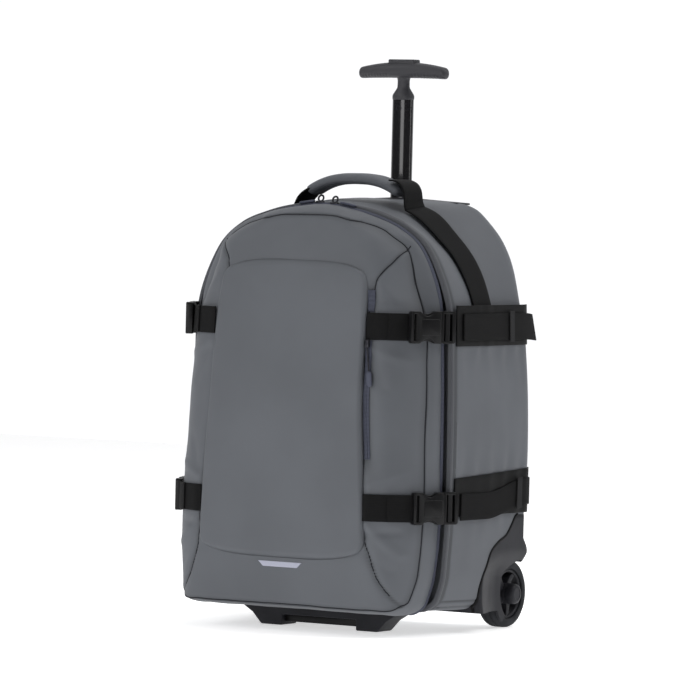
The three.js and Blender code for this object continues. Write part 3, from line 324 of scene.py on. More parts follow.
def station_points(station):
    column, half, bottom, top = station_sizes[station]
    across = outline_rows[:, column] * half
    up = bottom + outline_rows[:, column + 1] * (top - bottom)
    return np.column_stack([across, up])


middle_points = station_points("middle")
step_lengths = np.hypot(*np.diff(middle_points, axis=0).T)
outline_knots = np.concatenate([[0], np.cumsum(step_lengths)])
outline_knots /= outline_knots[-1]


def mirrored_outline(points):
    """Knots and rows of a whole outline, from the bottom middle round the right side to the left"""
    left = points[-2::-1] * np.array([-1, 1])
    knots = np.concatenate([outline_knots, 2 - outline_knots[-2::-1]]) / 2
    return knots, np.vstack([points, left])


outline_curves = {name: curve_through(*mirrored_outline(station_points(name))) for name in station_sizes}
blend_depths = [front_edge, handle_depth, (handle_depth + rear_start) / 2, rear_start]


def main_ring(turns, depth):
    """The outline of the main compartment at a depth, at shares of the way round"""
    front, middle, rear = (outline_curves[name](turns) for name in ("front", "middle", "rear"))
    rows = np.stack([front, middle, middle * 0.4 + rear * 0.6, rear]).reshape(4, -1)
    return curve_through(blend_depths, rows)(min(depth, rear_start)).reshape(-1, 2)


def evenly_round(ring_at, count):
    """Shares of the way round that stand about evenly along an outline"""
    fine = np.linspace(0, 1, 4001)
    points = ring_at(fine)
    length = np.concatenate([[0], np.cumsum(np.hypot(*np.diff(points, axis=0).T))])
    return np.interp(np.linspace(0, length[-1], count), length, fine)


def folds(place, size, seed):
    """Soft unevenness of cloth, between about -1 and 1"""
    return noise.noise(Vector(place) / size + Vector((seed, seed * 0.7, 0)))


def piece_of(name, form, *materials, smooth=40, body="bag"):
    """Makes an object of a finished mesh and lets it ride on a body"""
    mesh = bpy.data.meshes.new(name)
    form.to_mesh(mesh)
    form.free()
    for material in materials:
        mesh.materials.append(material)
    mesh.shade_smooth()
    if smooth < 180:
        mesh.set_sharp_from_angle(angle=math.radians(smooth))
    piece = bpy.data.objects.new(name, mesh)
    bpy.context.scene.collection.objects.link(piece)
    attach(piece, body)
    return piece


def finish_modifiers(piece):
    """Applies a piece's modifiers, so that what is sewn onto it can be laid on its surface"""
    graph = bpy.context.evaluated_depsgraph_get()
    mesh = bpy.data.meshes.new_from_object(piece.evaluated_get(graph))
    piece.modifiers.clear()
    piece.data = mesh
    return piece


def cloth_grid(columns, rows):
    """A fine grid of cloth, its vertices in rows, with an attribute for painted seam shade and the hem tone
    """
    form = bmesh.new()
    bmesh.ops.create_grid(form, x_segments=columns, y_segments=rows, size=1)
    form.verts.ensure_lookup_table()
    return form, form.verts.layers.float.new("seam")


main_columns = 520
main_turns = evenly_round(lambda turns: main_ring(turns, handle_depth), main_columns + 1)
main_centre = sum(station_sizes["rear"][2:]) / 2
top_inset_share = 0.4
hem_inset = 0.035


def main_profile():
    """Rows from the hem at the front to the middle of the back panel: depth, inset, share of the ring"""
    rows = [(front_edge + 1.5 * mm, 0, 1 - hem_inset), (front_edge + 0.3 * mm, 1.6 * mm, 1)]
    rows.append((front_edge, 0.5 * mm, 1))
    for share in np.linspace(0.01, 1, 54):
        rows.append((front_edge + 0.6 * mm + share * (rear_start - front_edge - 0.6 * mm), 0, 1))
    for turn in np.linspace(0, math.pi / 2, 12)[1:]:
        rows.append((rear_start + back_corner * math.sin(turn), back_corner * (1 - math.cos(turn)), 1))
    for share in np.linspace(0.97, 0.02, 26):
        rows.append((back_plane, back_corner, share))
    return rows


def below(up, level, reach, stop):
    """Strength of the gathers that hang below a level"""
    return math.exp(-abs(up - level) / reach) * (1 if up < stop else 0)


def above(up, level, reach, stop):
    """Strength of the gathers that stand above a level"""
    return math.exp(-abs(up - level) / reach) * (1 if up > stop else 0)


# Two rows of stitches cross the sides low down
low_seams = [32.5 * mm, 39.5 * mm]
main_rows = main_profile()
form, seam_shade_and_hem_mark = cloth_grid(main_columns, len(main_rows) - 1)
for index, (depth, inset, share) in enumerate(main_rows):
    ring = main_ring(main_turns, depth)
    width = 1 - inset / (185 * mm)
    height = 1 - inset * top_inset_share / (235 * mm)
    for column in range(main_columns + 1):
        across = ring[column][0] * width * share
        up = main_centre + (ring[column][1] - main_centre) * height * share
        side = abs(across) / (180 * mm)
        place = Vector((across, depth, up))
        swell = folds(place, 95 * mm, 3) * 1.4 * mm + folds(place, 38 * mm, 5) * 0.5 * mm
        # Gathers that hang below the upper strap and stand above the lower one
        gather = below(up, 330 * mm, 22 * mm, 335 * mm) + above(up, 192 * mm, 26 * mm, 186 * mm)
        gather += 0.7 * below(up, 138 * mm, 24 * mm, 140 * mm)
        wave = math.sin(depth / (4.6 * mm) + 1.5 * folds(place, 30 * mm, 9))
        swell += gather * 0.8 * mm * wave * (side > 0.8)
        inside = min(1, max(0, (depth - front_edge) / (20 * mm)))
        inside *= min(1, max(0, (back_plane - depth) / (30 * mm)))
        along = Vector((across, 0, up - main_centre)).normalized() * swell * inside
        vert = form.verts[index * (main_columns + 1) + column]
        vert.co = place + along
        # Seam lines are painted darker, as shade in their folds; the first millimetres behind the zip take
        # the slate hem's darker tone
        seam_line = math.exp(-((depth - front_edge - 4.5 * mm) / (0.8 * mm)) ** 2)
        for level in low_seams:
            near = math.exp(-((up - level) / (0.9 * mm)) ** 2) * (1 if side > 0.8 else 0)
            seam_line = max(seam_line, near)
        hem = 0.5 if depth < front_edge + 4.2 * mm else 0
        vert[seam_shade_and_hem_mark] = max(0.75 * seam_line, hem) if share == 1 else 0
        vert.co -= along.normalized() * 0.9 * mm * seam_line if along.length else Vector()
bmesh.ops.remove_doubles(form, verts=form.verts, dist=0.02 * mm)
bmesh.ops.holes_fill(form, edges=[edge for edge in form.edges if edge.is_boundary])
bmesh.ops.recalc_face_normals(form, faces=form.faces)
main_cloth = piece_of("main_cloth", form, cloth)
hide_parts("main_shell")


# Front compartment: the front tub, cut in a face and a band round it. The face has a middle panel
# and two side lobes, sewn along seams that run out into the corners. The band swells a little.
front_depth = 71 * mm
front_line = [(0, 1.0), (0.106, 1.04), (0.18, 1.045), (0.524, 1.015), (0.69, 0.93), (0.874, 0.76), (1, 0.44)]
middle_line = curve_through([up for up, _ in front_line], [[proud] for _, proud in front_line])
seam_bottom, seam_top, seam_half = 31 * mm, 483 * mm, 164 * mm
side_rows = outline_rows[4:]
seam_heights = seam_bottom + side_rows[:, 1] * (seam_top - seam_bottom)
seam_side = curve_through(seam_heights, np.column_stack([side_rows[:, 0] * seam_half, side_rows[:, 2]]))


def face_depth(across, up):
    """Depth of the front face at places on it"""
    across, up = np.atleast_1d(across), np.atleast_1d(up)
    side = seam_side(up)
    half = np.maximum(side[:, 0], 1 * mm)
    share = np.minimum(np.abs(across) / half, 1)
    middle = middle_line((up - seam_bottom) / (seam_top - seam_bottom))[:, 0]
    proud = middle + (side[:, 1] - middle) * share ** 8
    return zip_plane - front_depth * proud


# Seams on the front face, in width and height: the right and left edges of the middle, run out to the corners
right_seam = np.array([
    (127, 449), (118, 430), (109, 413), (104.5, 392), (102, 361), (101, 340), (103, 300), (106.4, 252),
    (108.5, 190), (110, 123), (113, 109), (118, 94), (128, 67), (141, 47), (153, 31),
]) * mm
left_seam = np.array([
    (-125, 451), (-111, 443), (-97, 430), (-92, 412), (-93, 398), (-96, 340), (-98.6, 292), (-101.4, 243),
    (-108, 190), (-111.5, 154), (-114, 114), (-118, 88), (-128, 62), (-141, 45), (-153, 31),
]) * mm


def distance_to(line, across, up):
    """Distance of places from a line of points, on the front face"""
    place = np.column_stack([across, up])
    best = np.full(len(place), 1.0)
    for start, end in zip(line[:-1], line[1:]):
        along = end - start
        share = np.clip(((place - start) @ along) / (along @ along), 0, 1)
        best = np.minimum(best, np.hypot(*(place - start - share[:, None] * along).T))
    return best


def front_turn(u, v):
    """The share of the way round the outline that a place on the square grid belongs to"""
    size = max(abs(u), abs(v))
    if size < 1e-9:
        return 0.0
    u, v = u / size, v / size
    bottom_corner = outline_knots[4] / 2
    top_corner = outline_knots[12] / 2
    if v <= -1 + 1e-9:
        turn = bottom_corner * abs(u)
    elif v >= 1 - 1e-9:
        turn = 0.5 - (0.5 - top_corner) * abs(u)
    else:
        turn = bottom_corner + (top_corner - bottom_corner) * (v + 1) / 2
    return turn if u >= 0 else 1 - turn


def ease(share):
    return share * share * (3 - 2 * share)


panel_bottom, panel_top = 92 * mm, 424 * mm
panel_thickness, panel_lift = 3.2 * mm, 1.2 * mm
panel_edge = curve_through([0, 0.04, 0.3, 0.53, 0.85, 1], [[0.69], [0.688], [0.665], [0.635], [0.62], [0.60]])
panel_corner = 20 * mm


def panel_half(up):
    share = (up - panel_bottom) / (panel_top - panel_bottom)
    return panel_edge(share)[0][0] * seam_half


front_columns, front_rows = 196, 250
form, seam_shade_and_hem_mark = cloth_grid(front_columns, front_rows)
band_cells = 22
turns, cells = [], []
for row in range(front_rows + 1):
    v = -1 + 2 * row / front_rows
    for column in range(front_columns + 1):
        u = -1 + 2 * column / front_columns
        # The outer cells of the grid make the band, so the seam falls on a row of vertices
        cells.append(min(column, front_columns - column, row, front_rows - row))
        turns.append(front_turn(u, v))
turns, cells = np.array(turns), np.array(cells)
middle_height = (seam_bottom + seam_top) / 2
face_middle = np.array([0, middle_height])
seam_ring = outline_curves["seam"](turns)
zip_ring = outline_curves["zip"](turns)
inner_cells = min(front_columns, front_rows) / 2 - band_cells
face_share = np.clip(1 - (cells - band_cells) / inner_cells, 0, 1)
band_share = np.clip((band_cells - cells) / band_cells, 0, 1)
face_place = face_middle + (seam_ring - face_middle) * face_share[:, None]
seam_depth = face_depth(seam_ring[:, 0], np.clip(seam_ring[:, 1], seam_bottom, seam_top))
across = face_place[:, 0]
up = face_place[:, 1]
depth = face_depth(across, np.clip(up, seam_bottom, seam_top))
swell = np.sin(np.pi * band_share) * 3.0 * mm
outward = seam_ring - face_middle
outward /= np.linalg.norm(outward, axis=1)[:, None]
on_band = band_share > 0
band_place = seam_ring + (zip_ring - seam_ring) * band_share[:, None] + outward * swell[:, None]
across = np.where(on_band, band_place[:, 0], across)
up = np.where(on_band, band_place[:, 1], up)
depth = np.where(on_band, seam_depth + (zip_plane - seam_depth) * band_share, depth)
to_seams = np.minimum(distance_to(right_seam, across, up), distance_to(left_seam, across, up))
to_seams = np.where(on_band, 1.0, to_seams)
# The lobe dips beside the right edge of the raised panel, where the pocket zip lies
panel_share = (up - panel_bottom) / (panel_top - panel_bottom)
zip_reach = across - (panel_edge(panel_share)[:, 0] * seam_half + 5 * mm)
zip_window = np.clip((up - 185 * mm) / (25 * mm), 0, 1) * np.clip((412 * mm - up) / (20 * mm), 0, 1)
zip_window = np.where(on_band, 0, zip_window)
dip = 4.0 * mm * np.exp(-(zip_reach / (8 * mm)) ** 2) * zip_window
# Painted shade in the dip beside the panel edge
dip_shade = 0.55 * np.exp(-((zip_reach + 1 * mm) / (6 * mm)) ** 2) * zip_window
edge_steps = np.abs(cells - band_cells)
edge_fold = np.exp(-(edge_steps / 1.0) ** 2)
diagonal_fold = np.exp(-(to_seams / (1.7 * mm)) ** 2)
puff = np.exp(-((to_seams - 8 * mm) / (6 * mm)) ** 2) * 0.9 * mm
# Soft creases of the side lobes: where each starts and ends, how high and how wide it stands
creases = [
    # across, up            across, up             height, width
    ((113 * mm, 130 * mm), (150 * mm, 96 * mm), 2.0 * mm, 6 * mm),
    ((113 * mm, 119 * mm), (146 * mm, 122 * mm), -1.4 * mm, 5 * mm),
    ((116 * mm, 96 * mm), (140 * mm, 78 * mm), -1.2 * mm, 6 * mm),
    ((110 * mm, 408 * mm), (140 * mm, 378 * mm), 1.6 * mm, 6 * mm),
    ((120 * mm, 428 * mm), (150 * mm, 392 * mm), -1.5 * mm, 5 * mm),
    ((106 * mm, 384 * mm), (140 * mm, 380 * mm), -1.1 * mm, 5 * mm),
    ((108 * mm, 333 * mm), (146 * mm, 318 * mm), 1.5 * mm, 6 * mm),
    ((112 * mm, 322 * mm), (128 * mm, 286 * mm), -1.0 * mm, 6 * mm),
    ((116 * mm, 176 * mm), (150 * mm, 190 * mm), 1.3 * mm, 6 * mm),
    ((118 * mm, 186 * mm), (130 * mm, 220 * mm), -0.9 * mm, 6 * mm),
]
crease_lift = np.zeros(len(across))
for start, end, height, width in creases:
    reach = distance_to(np.array([start, end]), np.abs(across), up)
    crease_lift += height * np.exp(-(reach / width) ** 2)
crease_lift = np.where(on_band, crease_lift * 0.3, crease_lift)
for index, vert in enumerate(form.verts):
    place = Vector((across[index], depth[index], up[index]))
    if on_band[index]:
        out = Vector((outward[index][0], 0, outward[index][1]))
    else:
        out = Vector((outward[index][0] * 0.2, -1, 0)).normalized()
    uneven = folds(place, 70 * mm, 11) * 1.0 * mm + folds(place, 26 * mm, 17) * 0.35 * mm
    lift = uneven - edge_fold[index] * 1.5 * mm - diagonal_fold[index] * 1.8 * mm + puff[index] - dip[index]
    lift += crease_lift[index]
    vert.co = place + out * lift
    # Painted shade along the seam folds and in the dip
    vert[seam_shade_and_hem_mark] = max(0.45 * edge_fold[index], 0.5 * diagonal_fold[index], dip_shade[index])
bmesh.ops.remove_doubles(form, verts=form.verts, dist=0.02 * mm)
bmesh.ops.recalc_face_normals(form, faces=form.faces)
front_cloth = piece_of("front_cloth", form, cloth, smooth=70)
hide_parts("front_shell")


def surface_of(piece):
    """A search tree of a piece's faces, to lay other pieces on it"""
    form = bmesh.new()
    form.from_mesh(piece.data)
    tree = BVHTree.FromBMesh(form)
    form.free()
    return tree


main_surface = surface_of(main_cloth)
front_surface = surface_of(front_cloth)


def side_at(depth, up, side=1):
    """How far out the cloth stands at a place on the side of the bag"""
    depth = min(max(depth, front_edge + 1.5 * mm), back_plane - 1 * mm)
    start = Vector((side * 400 * mm, depth, max(up, main_low.z + 5 * mm)))
    hit = main_surface.ray_cast(start, Vector((-side, 0, 0)))
    return abs(hit[0].x)


def face_at(across, up):
    """Depth of the cloth at a place on the front face"""
    hit = front_surface.ray_cast(Vector((across, -0.5, up)), Vector((0, 1, 0)))
    return hit[0].y


# Seam lines: a thin dark cord along each seam, where two panels meet: partly the cord sewn between them,
# partly painted shade in the seam's fold
fold_shade_tone = make_cloth("fold_shade_cloth", (0.022, 0.023, 0.027))
seam_cord = 0.75 * mm


def tube_along(points, radius, sides=8):
    """A round cord along a line of points"""
    points = [Vector(point) for point in points]
    form = bmesh.new()
    bmesh.ops.create_grid(form, x_segments=sides, y_segments=len(points) - 1, size=1)
    form.verts.ensure_lookup_table()
    last = None
    for index, point in enumerate(points):
        ahead = (points[min(index + 1, len(points) - 1)] - points[max(index - 1, 0)]).normalized()
        side_way = ahead.orthogonal() if last is None else last - ahead * last.dot(ahead)
        side_way.normalize()
        last = side_way
        other = ahead.cross(side_way)
        for step in range(sides + 1):
            angle = 2 * math.pi * step / sides
            offset = side_way * math.cos(angle) + other * math.sin(angle)
            form.verts[index * (sides + 1) + step].co = point + offset * radius
    bmesh.ops.remove_doubles(form, verts=form.verts, dist=radius * 0.02)
    bmesh.ops.holes_fill(form, edges=[edge for edge in form.edges if edge.is_boundary])
    bmesh.ops.recalc_face_normals(form, faces=form.faces)
    return form


def add_form(target, form):
    """Adds one mesh to another"""
    mesh = bpy.data.meshes.new("part")
    form.to_mesh(mesh)
    form.free()
    target.from_mesh(mesh)
    bpy.data.meshes.remove(mesh)


def along_line(line, step):
    """Points at even steps along a smooth line through a few points"""
    lengths = np.concatenate([[0], np.cumsum(np.hypot(*np.diff(line, axis=0).T))])
    return curve_through(lengths, line)(np.arange(0, lengths[-1], step))


form = bmesh.new()
form.verts.layers.float.new("seam")
for line in (right_seam, left_seam):
    points = [(across, face_at(across, up) + 0.1 * mm, up) for across, up in along_line(line[:-1], 3 * mm)]
    add_form(form, tube_along(points, seam_cord, 6))
edge_turns = evenly_round(outline_curves["seam"], 420)
points = []
for across, up in outline_curves["seam"](edge_turns):
    centre = Vector((0, zip_plane + 30 * mm, middle_height))
    target = Vector((across, float(face_depth(across, min(max(up, seam_bottom), seam_top))[0]), up))
    way = (centre - target).normalized()
    hit = front_surface.ray_cast(target - way * 40 * mm, way)[0]
    points.append(hit if hit else target)
add_form(form, tube_along(points, seam_cord, 6))
seam_cords = piece_of("seam_cords", form, fold_shade_tone, smooth=180)


# Wheel housings: moulded plastic, screwed to the frame from inside. The outer face slants in from the
# cloth to the wheel and hugs the tyre in front like a fender; a lug stands out at the back above it.
housing_low, housing_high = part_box("wheel_housing_right")
tyre_low, tyre_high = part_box("wheel_tyre_right")
axle = (tyre_low + tyre_high) / 2
wheel_radius = (tyre_high.z - tyre_low.z) / 2
lug_reach = 11.5 * mm
housing_edge = [
    # along, up: shares of the way to the back panel and of the height
    (0.044, 0.0), (0, 0.097), (0, 0.345), (0.093, 0.496), (0.18, 0.637), (0.307, 0.721),
    (0.473, 0.788), (0.561, 0.885), (0.644, 0.982), (0.688, 1.0),
]


def named(stem, side):
    return f"{stem}_right" if side > 0 else f"{stem}_left"


def housing_line(count):
    """The front and upper edge of a housing, from its toe up, as a smooth line"""
    points = np.array(housing_edge)
    steps = np.concatenate([[0], np.cumsum(np.hypot(*np.diff(points, axis=0).T))])
    line = curve_through(steps, points)(np.linspace(0, steps[-1], count))
    depths = housing_low.y + line[:, 0] * (back_plane - housing_low.y)
    heights = housing_low.z + line[:, 1] * (housing_high.z - housing_low.z)
    return np.column_stack([depths, heights])


def prism(outline, start, end):
    """A plate with an outline in depth and height, from one width to another"""
    form = bmesh.new()
    corners = [form.verts.new((start, depth, up)) for depth, up in outline]
    face = form.faces.new(corners)
    pulled = bmesh.ops.extrude_face_region(form, geom=[face])
    moved = [vert for vert in pulled["geom"] if isinstance(vert, bmesh.types.BMVert)]
    bmesh.ops.translate(form, vec=(end - start, 0, 0), verts=moved)
    bmesh.ops.recalc_face_normals(form, faces=form.faces)
    return form


def cut_with(piece, form, operation="DIFFERENCE"):
    """Cuts a piece with a shape that is then thrown away"""
    mesh = bpy.data.meshes.new("cutter")
    form.to_mesh(mesh)
    form.free()
    cutter = bpy.data.objects.new("cutter", mesh)
    bpy.context.scene.collection.objects.link(cutter)
    cutting = piece.modifiers.new("cut", "BOOLEAN")
    cutting.operation = operation
    cutting.solver = "EXACT"
    cutting.object = cutter
    finish_modifiers(piece)
    bpy.data.objects.remove(cutter)
    bpy.data.meshes.remove(mesh)
    return piece


def housing_hole(side):
    """The hole in the cloth for one housing, run out below and behind"""
    line = housing_line(40) + np.array([-0.6, 0.6]) * mm
    outline = [(line[0][0], -30 * mm), *map(tuple, line), (back_plane + 60 * mm, housing_high.z + 0.6 * mm)]
    outline.append((back_plane + 60 * mm, -30 * mm))
    return prism(outline, side * 111 * mm, side * 230 * mm)


for side in (1, -1):
    cut_with(main_cloth, housing_hole(side))
main_cloth.data.set_sharp_from_angle(angle=math.radians(50))

moulded = Finish("moulded_plastic", Roughness=0.5, Specular_IOR_Level=0.2)
moulded_place = moulded.coordinates()
moulded_grain = moulded.noise(1400.0, 3.0, moulded_place)
moulded_clouds = moulded.noise(30.0, 2.0, moulded_place)
moulded_colour = moulded.mix(
    moulded_clouds.between(0.35, 0.65), (0.014, 0.0145, 0.018, 1), (0.019, 0.0195, 0.024, 1))
moulded_rough = 0.42 + moulded_grain * 0.2
charcoal = moulded.feed(
    Base_Color=moulded_colour,
    Roughness=moulded_rough,
    Normal=moulded.bump(moulded_grain, 0.08 * mm, 0.4),
)

fender_out = 158.5 * mm
fender_wall = 3 * mm
fender_radius = 40.6 * mm
toe_out, upper_out = 177 * mm, 173.5 * mm
lug_bottom = 77 * mm
housing_edge_round = 5 * mm
pocket_radius = 44 * mm
pocket_start = 124 * mm
tail_level = 17 * mm
fender_only_below = 22 * mm
far_below = -10 * mm
far_behind = housing_high.y + 20 * mm
spindle_radius, spindle_length, spindle_middle = 4 * mm, 26 * mm, 137 * mm


def housing_face(depth, up, line):
    """How far out the outer face of a housing stands"""
    start, end = 2 * mm, axle.y - wheel_radius
    slant = toe_out + (fender_out - toe_out) * ease(min(1, max(0, (depth - start) / (end - start))))
    lift = ease(min(1, max(0, (up - 62 * mm) / (34 * mm))))
    out = slant + (max(upper_out, slant) - slant) * lift
    near = distance_to(line, np.array([depth]), np.array([up]))[0]
    if near < housing_edge_round:
        out -= housing_edge_round - math.sqrt(housing_edge_round ** 2 - (housing_edge_round - near) ** 2)
    return out


def make_housing(side):
    line = housing_line(60)
    heel = [(back_plane, housing_high.z), (back_plane, 108 * mm), (back_plane + 0.57 * lug_reach, 99 * mm)]
    lug = [(housing_high.y, 90 * mm), (housing_high.y, lug_bottom)]
    tail = [(housing_high.y, tail_level), (axle.y - 17 * mm, tail_level)]
    for turn in np.linspace(142, 116, 9):
        angle = math.radians(turn)
        tail.append((axle.y - fender_radius * math.sin(angle), axle.z + fender_radius * math.cos(angle)))
    outline = [*map(tuple, line), *heel, *lug, *tail]
    rim_line = np.array([*map(tuple, line), *heel, *lug])
    form = bmesh.new()
    cells = 80
    bmesh.ops.create_grid(form, x_segments=cells, y_segments=cells, size=1)
    for vert in form.verts:
        depth = housing_low.y - 2 * mm + (vert.co.x + 1) / 2 * (housing_high.y - housing_low.y + 4 * mm)
        up = 1 * mm + (vert.co.y + 1) / 2 * (housing_high.z + 1 * mm)
        vert.co = (side * housing_face(depth, up, rim_line), depth, up)
    pulled = bmesh.ops.extrude_face_region(form, geom=form.faces[:])
    for vert in pulled["geom"]:
        if isinstance(vert, bmesh.types.BMVert):
            vert.co.x = side * housing_low.x
    bmesh.ops.recalc_face_normals(form, faces=form.faces)
    piece = piece_of(named("housing", side), form, charcoal, smooth=35)
    cut_with(piece, prism(outline, side * 100 * mm, side * 200 * mm), "INTERSECT")
    # The pocket that the wheel turns in, and the opening of the fender over it
    pocket = [(axle.y + pocket_radius * math.sin(turn), axle.z + pocket_radius * math.cos(turn))
              for turn in np.linspace(-math.pi * 0.85, 0.02, 40)]
    pocket += [(axle.y + 4 * mm, lug_bottom + 3 * mm), (axle.y + 8 * mm, lug_bottom)]
    pocket += [(far_behind, lug_bottom), (far_behind, far_below)]
    cut_with(piece, prism(pocket, side * pocket_start, side * (fender_out - fender_wall)))
    reach = curve_through([0, 45, 80, 110, 140], [[41 * mm], [36.5 * mm], [31.5 * mm], [30 * mm], [30 * mm]])
    opening = []
    for turn in np.linspace(140, 0, 36):
        radius = reach(turn)[0][0]
        angle = math.radians(turn)
        opening.append((axle.y - radius * math.sin(angle), axle.z + radius * math.cos(angle)))
    opening += [(axle.y + 8 * mm, lug_bottom + 2 * mm), (axle.y + 10 * mm, lug_bottom)]
    opening += [(far_behind, lug_bottom), (far_behind, far_below), (opening[0][0], far_below)]
    cut_with(piece, prism(opening, side * (fender_out - fender_wall - 1 * mm), side * 200 * mm))
    # Under the bag only the fender goes on down, round the front of the tyre
    under = [(0, far_below), (far_behind, far_below), (far_behind, fender_only_below), (0, fender_only_below)]
    cut_with(piece, prism(under, side * 90 * mm, side * (fender_out - fender_wall - 0.5 * mm)))
    spindle = bmesh.new()
    lying = Matrix.Translation((side * spindle_middle, axle.y, axle.z)) @ Matrix.Rotation(math.pi / 2, 4, "Y")
    bmesh.ops.create_cone(spindle, cap_ends=True, segments=24, radius1=spindle_radius, radius2=spindle_radius,
                          depth=spindle_length, matrix=lying)
    cut_with(piece, spindle, "UNION")
    piece.data.set_sharp_from_angle(angle=math.radians(35))
    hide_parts(named("wheel_housing", side))


for side in (1, -1):
    make_housing(side)


# Piping: a dark cord in a cloth strip, sewn along the edge of the cloth where the housing begins
piping_radius = 1.7 * mm
black_tone = (0.006, 0.006, 0.0063)
black_cloth = make_cloth("black_cloth", black_tone)
for side in (1, -1):
    line = housing_line(60) + np.array([-1.2, 1.0]) * mm
    cord = []
    for depth, up in line:
        reach = side_at(depth - 3 * mm, up + 1.5 * mm, side) - 0.3 * mm
        cord.append((side * reach, depth, up))
    piping = piece_of(named("housing_piping", side), tube_along(cord, piping_radius), black_cloth)


# Raised middle panel of the front: a padded panel with its top and bottom edges sewn down flat
# and its side edges turned under, so that the pocket zip lies in the shade of its right edge
def make_panel():
    form, seam_shade_and_hem_mark = cloth_grid(150, 210)
    for vert in form.verts:
        u, v = vert.co.x, vert.co.y
        up = panel_bottom + (v + 1) / 2 * (panel_top - panel_bottom)
        # The top edge bows up in the middle and the bottom edge bows down
        crown = 1 - abs(u) ** 3.2
        bow = 7 * mm * crown * max(0, v) ** 6 - 6 * mm * crown * max(0, -v) ** 6
        half = panel_half(up)
        from_end = min(v + 1, 1 - v) / 2 * (panel_top - panel_bottom)
        if from_end < panel_corner:
            share = 1 - from_end / panel_corner
            half -= panel_corner * 0.55 * (1 - math.sqrt(max(0, 1 - share * share)))
        across = u * half
        up += bow - 4 * mm * (1 if v > 0 else -1) * abs(v) ** 6 * abs(u) ** 6
        side_edge = (1 - abs(u)) * half
        side_rise = 1 - max(0, 1 - side_edge / (5 * mm)) ** 2.2
        end_rise = 1 - 0.85 * max(0, 1 - from_end / (7 * mm)) ** 2
        lift = (panel_lift + panel_thickness) * min(side_rise, 1) * end_rise - 0.6 * mm * (1 - side_rise)
        base = face_depth(across, up)[0]
        place = Vector((across, base, up))
        uneven = folds(place, 120 * mm, 23) * 0.9 * mm + folds(place, 45 * mm, 29) * 0.25 * mm
        vert.co = (across, base - lift - uneven * min(1, side_edge / (20 * mm)), up)
        # Painted shade along the stitched-down top and bottom ends
        end_line = math.exp(-(from_end / (1.3 * mm)) ** 2)
        vert[seam_shade_and_hem_mark] = 0.75 * end_line
        vert.co.y += 0.8 * mm * end_line
    bmesh.ops.recalc_face_normals(form, faces=form.faces)
    if sum(face.normal.y for face in form.faces) > 0:
        bmesh.ops.reverse_faces(form, faces=form.faces)
    panel = piece_of("panel", form, cloth, smooth=180)
    wall = panel.modifiers.new("wall", "SOLIDIFY")
    wall.thickness = 2 * mm
    wall.offset = -1
    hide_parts("front_panel")


make_panel()


# Webbing: woven polyester with fine cross ribs. Each strap is a flat ribbon, and its pattern follows it.
def make_webbing(name, tone, rib=1.25 * mm):
    finish = Finish(name, Roughness=0.8, Specular_IOR_Level=0.12)
    place = finish.node("ShaderNodeUVMap", {"uv_map": "along"}, {})
    across, along, _ = finish.axes(place)
    columns = (across * (math.pi / (1.9 * mm))).sine()
    ribs = (along * (2 * math.pi / rib) + columns * 1.2).sine()
    threads = finish.noise(2600.0, 2.0, finish.coordinates())
    height = ribs * 0.6 + columns.size() * 0.5 + threads * 0.35
    # Lighter on the ribs and darker between them: partly the weave's pattern, partly painted shade and
    # highlight
    colour = finish.mix(height.between(-0.4, 1.1), shade(tone, 0.6), shade(tone, 1.45))
    relief = finish.bump(height, 0.12 * mm, 0.7)
    return finish.feed(Base_Color=colour, Roughness=0.7 + threads * 0.15, Normal=relief)


webbing = make_webbing("black_webbing", black_tone)


def ribbon(name, stations, thickness, material, strips=6, body="bag"):
    """A strap from stations that each give its low edge, its high edge and the way outwards"""
    form = bmesh.new()
    bmesh.ops.create_grid(form, x_segments=strips, y_segments=len(stations) - 1, size=1)
    form.verts.ensure_lookup_table()
    mark = form.verts.layers.float_vector.new("where")
    run = 0
    for index, (low, high, out) in enumerate(stations):
        if index:
            before = stations[index - 1]
            run += ((low + high) / 2 - (before[0] + before[1]) / 2).length
        for step in range(strips + 1):
            vert = form.verts[index * (strips + 1) + step]
            vert.co = low.lerp(high, step / strips) + out * thickness
            vert[mark] = Vector(((step / strips) * (high - low).length, run, 0))
    uv = form.loops.layers.uv.new("along")
    for face in form.faces:
        for loop in face.loops:
            loop[uv].uv = loop.vert[mark].xy
    bmesh.ops.recalc_face_normals(form, faces=form.faces)
    form.normal_update()
    middle, _, outwards = stations[len(stations) // 2]
    near = min(form.faces, key=lambda face: (face.calc_center_median() - middle).length)
    if near.normal.dot(outwards) < 0:
        bmesh.ops.reverse_faces(form, faces=form.faces)
    piece = piece_of(name, form, material, smooth=50, body=body)
    wall = piece.modifiers.new("wall", "SOLIDIFY")
    wall.thickness = thickness
    wall.offset = -1
    edge = piece.modifiers.new("edge", "BEVEL")
    edge.width = min(0.35 * mm, thickness * 0.3)
    edge.segments = 2
    edge.limit_method = "ANGLE"
    edge.angle_limit = math.radians(60)
    return piece


def side_stations(side, depths, low_of, high_of, lift, flat=0.8):
    """Stations of a strap that lies on the side of the bag, from the front to the back"""
    stations = []
    for depth in depths:
        low, high = low_of(depth), high_of(depth)
        reach = [side_at(depth, low + (high - low) * share, side) for share in (0.02, 0.25, 0.5, 0.75, 0.98)]
        level = max(reach)
        half_way = (low + high) / 2
        ahead = side_at(depth + 3 * mm, half_way, side) - side_at(depth - 3 * mm, half_way, side)
        out = Vector((side * 6 * mm, -ahead, 0)).normalized()
        edges = []
        for up, own in ((low, reach[0]), (high, reach[-1])):
            edges.append(Vector((side * (own + (level - own) * flat), depth, up)) + out * lift)
        stations.append((edges[0], edges[1], out))
    return stations


# Black reinforcing panels under the compression straps, sewn flat onto the side of the bag
upper_strap, lower_strap = 357 * mm, 150 * mm
strap_width = 31 * mm
upper_wing_low, upper_wing_high = 335 * mm, 382 * mm
lower_wing_low, lower_wing_high = 139 * mm, 183 * mm
wing_start, wing_end = front_edge + 3 * mm, back_plane - 10 * mm


def lower_wing_top(depth):
    return lower_wing_high + 9 * mm * (depth - front_edge) / (back_plane - front_edge)


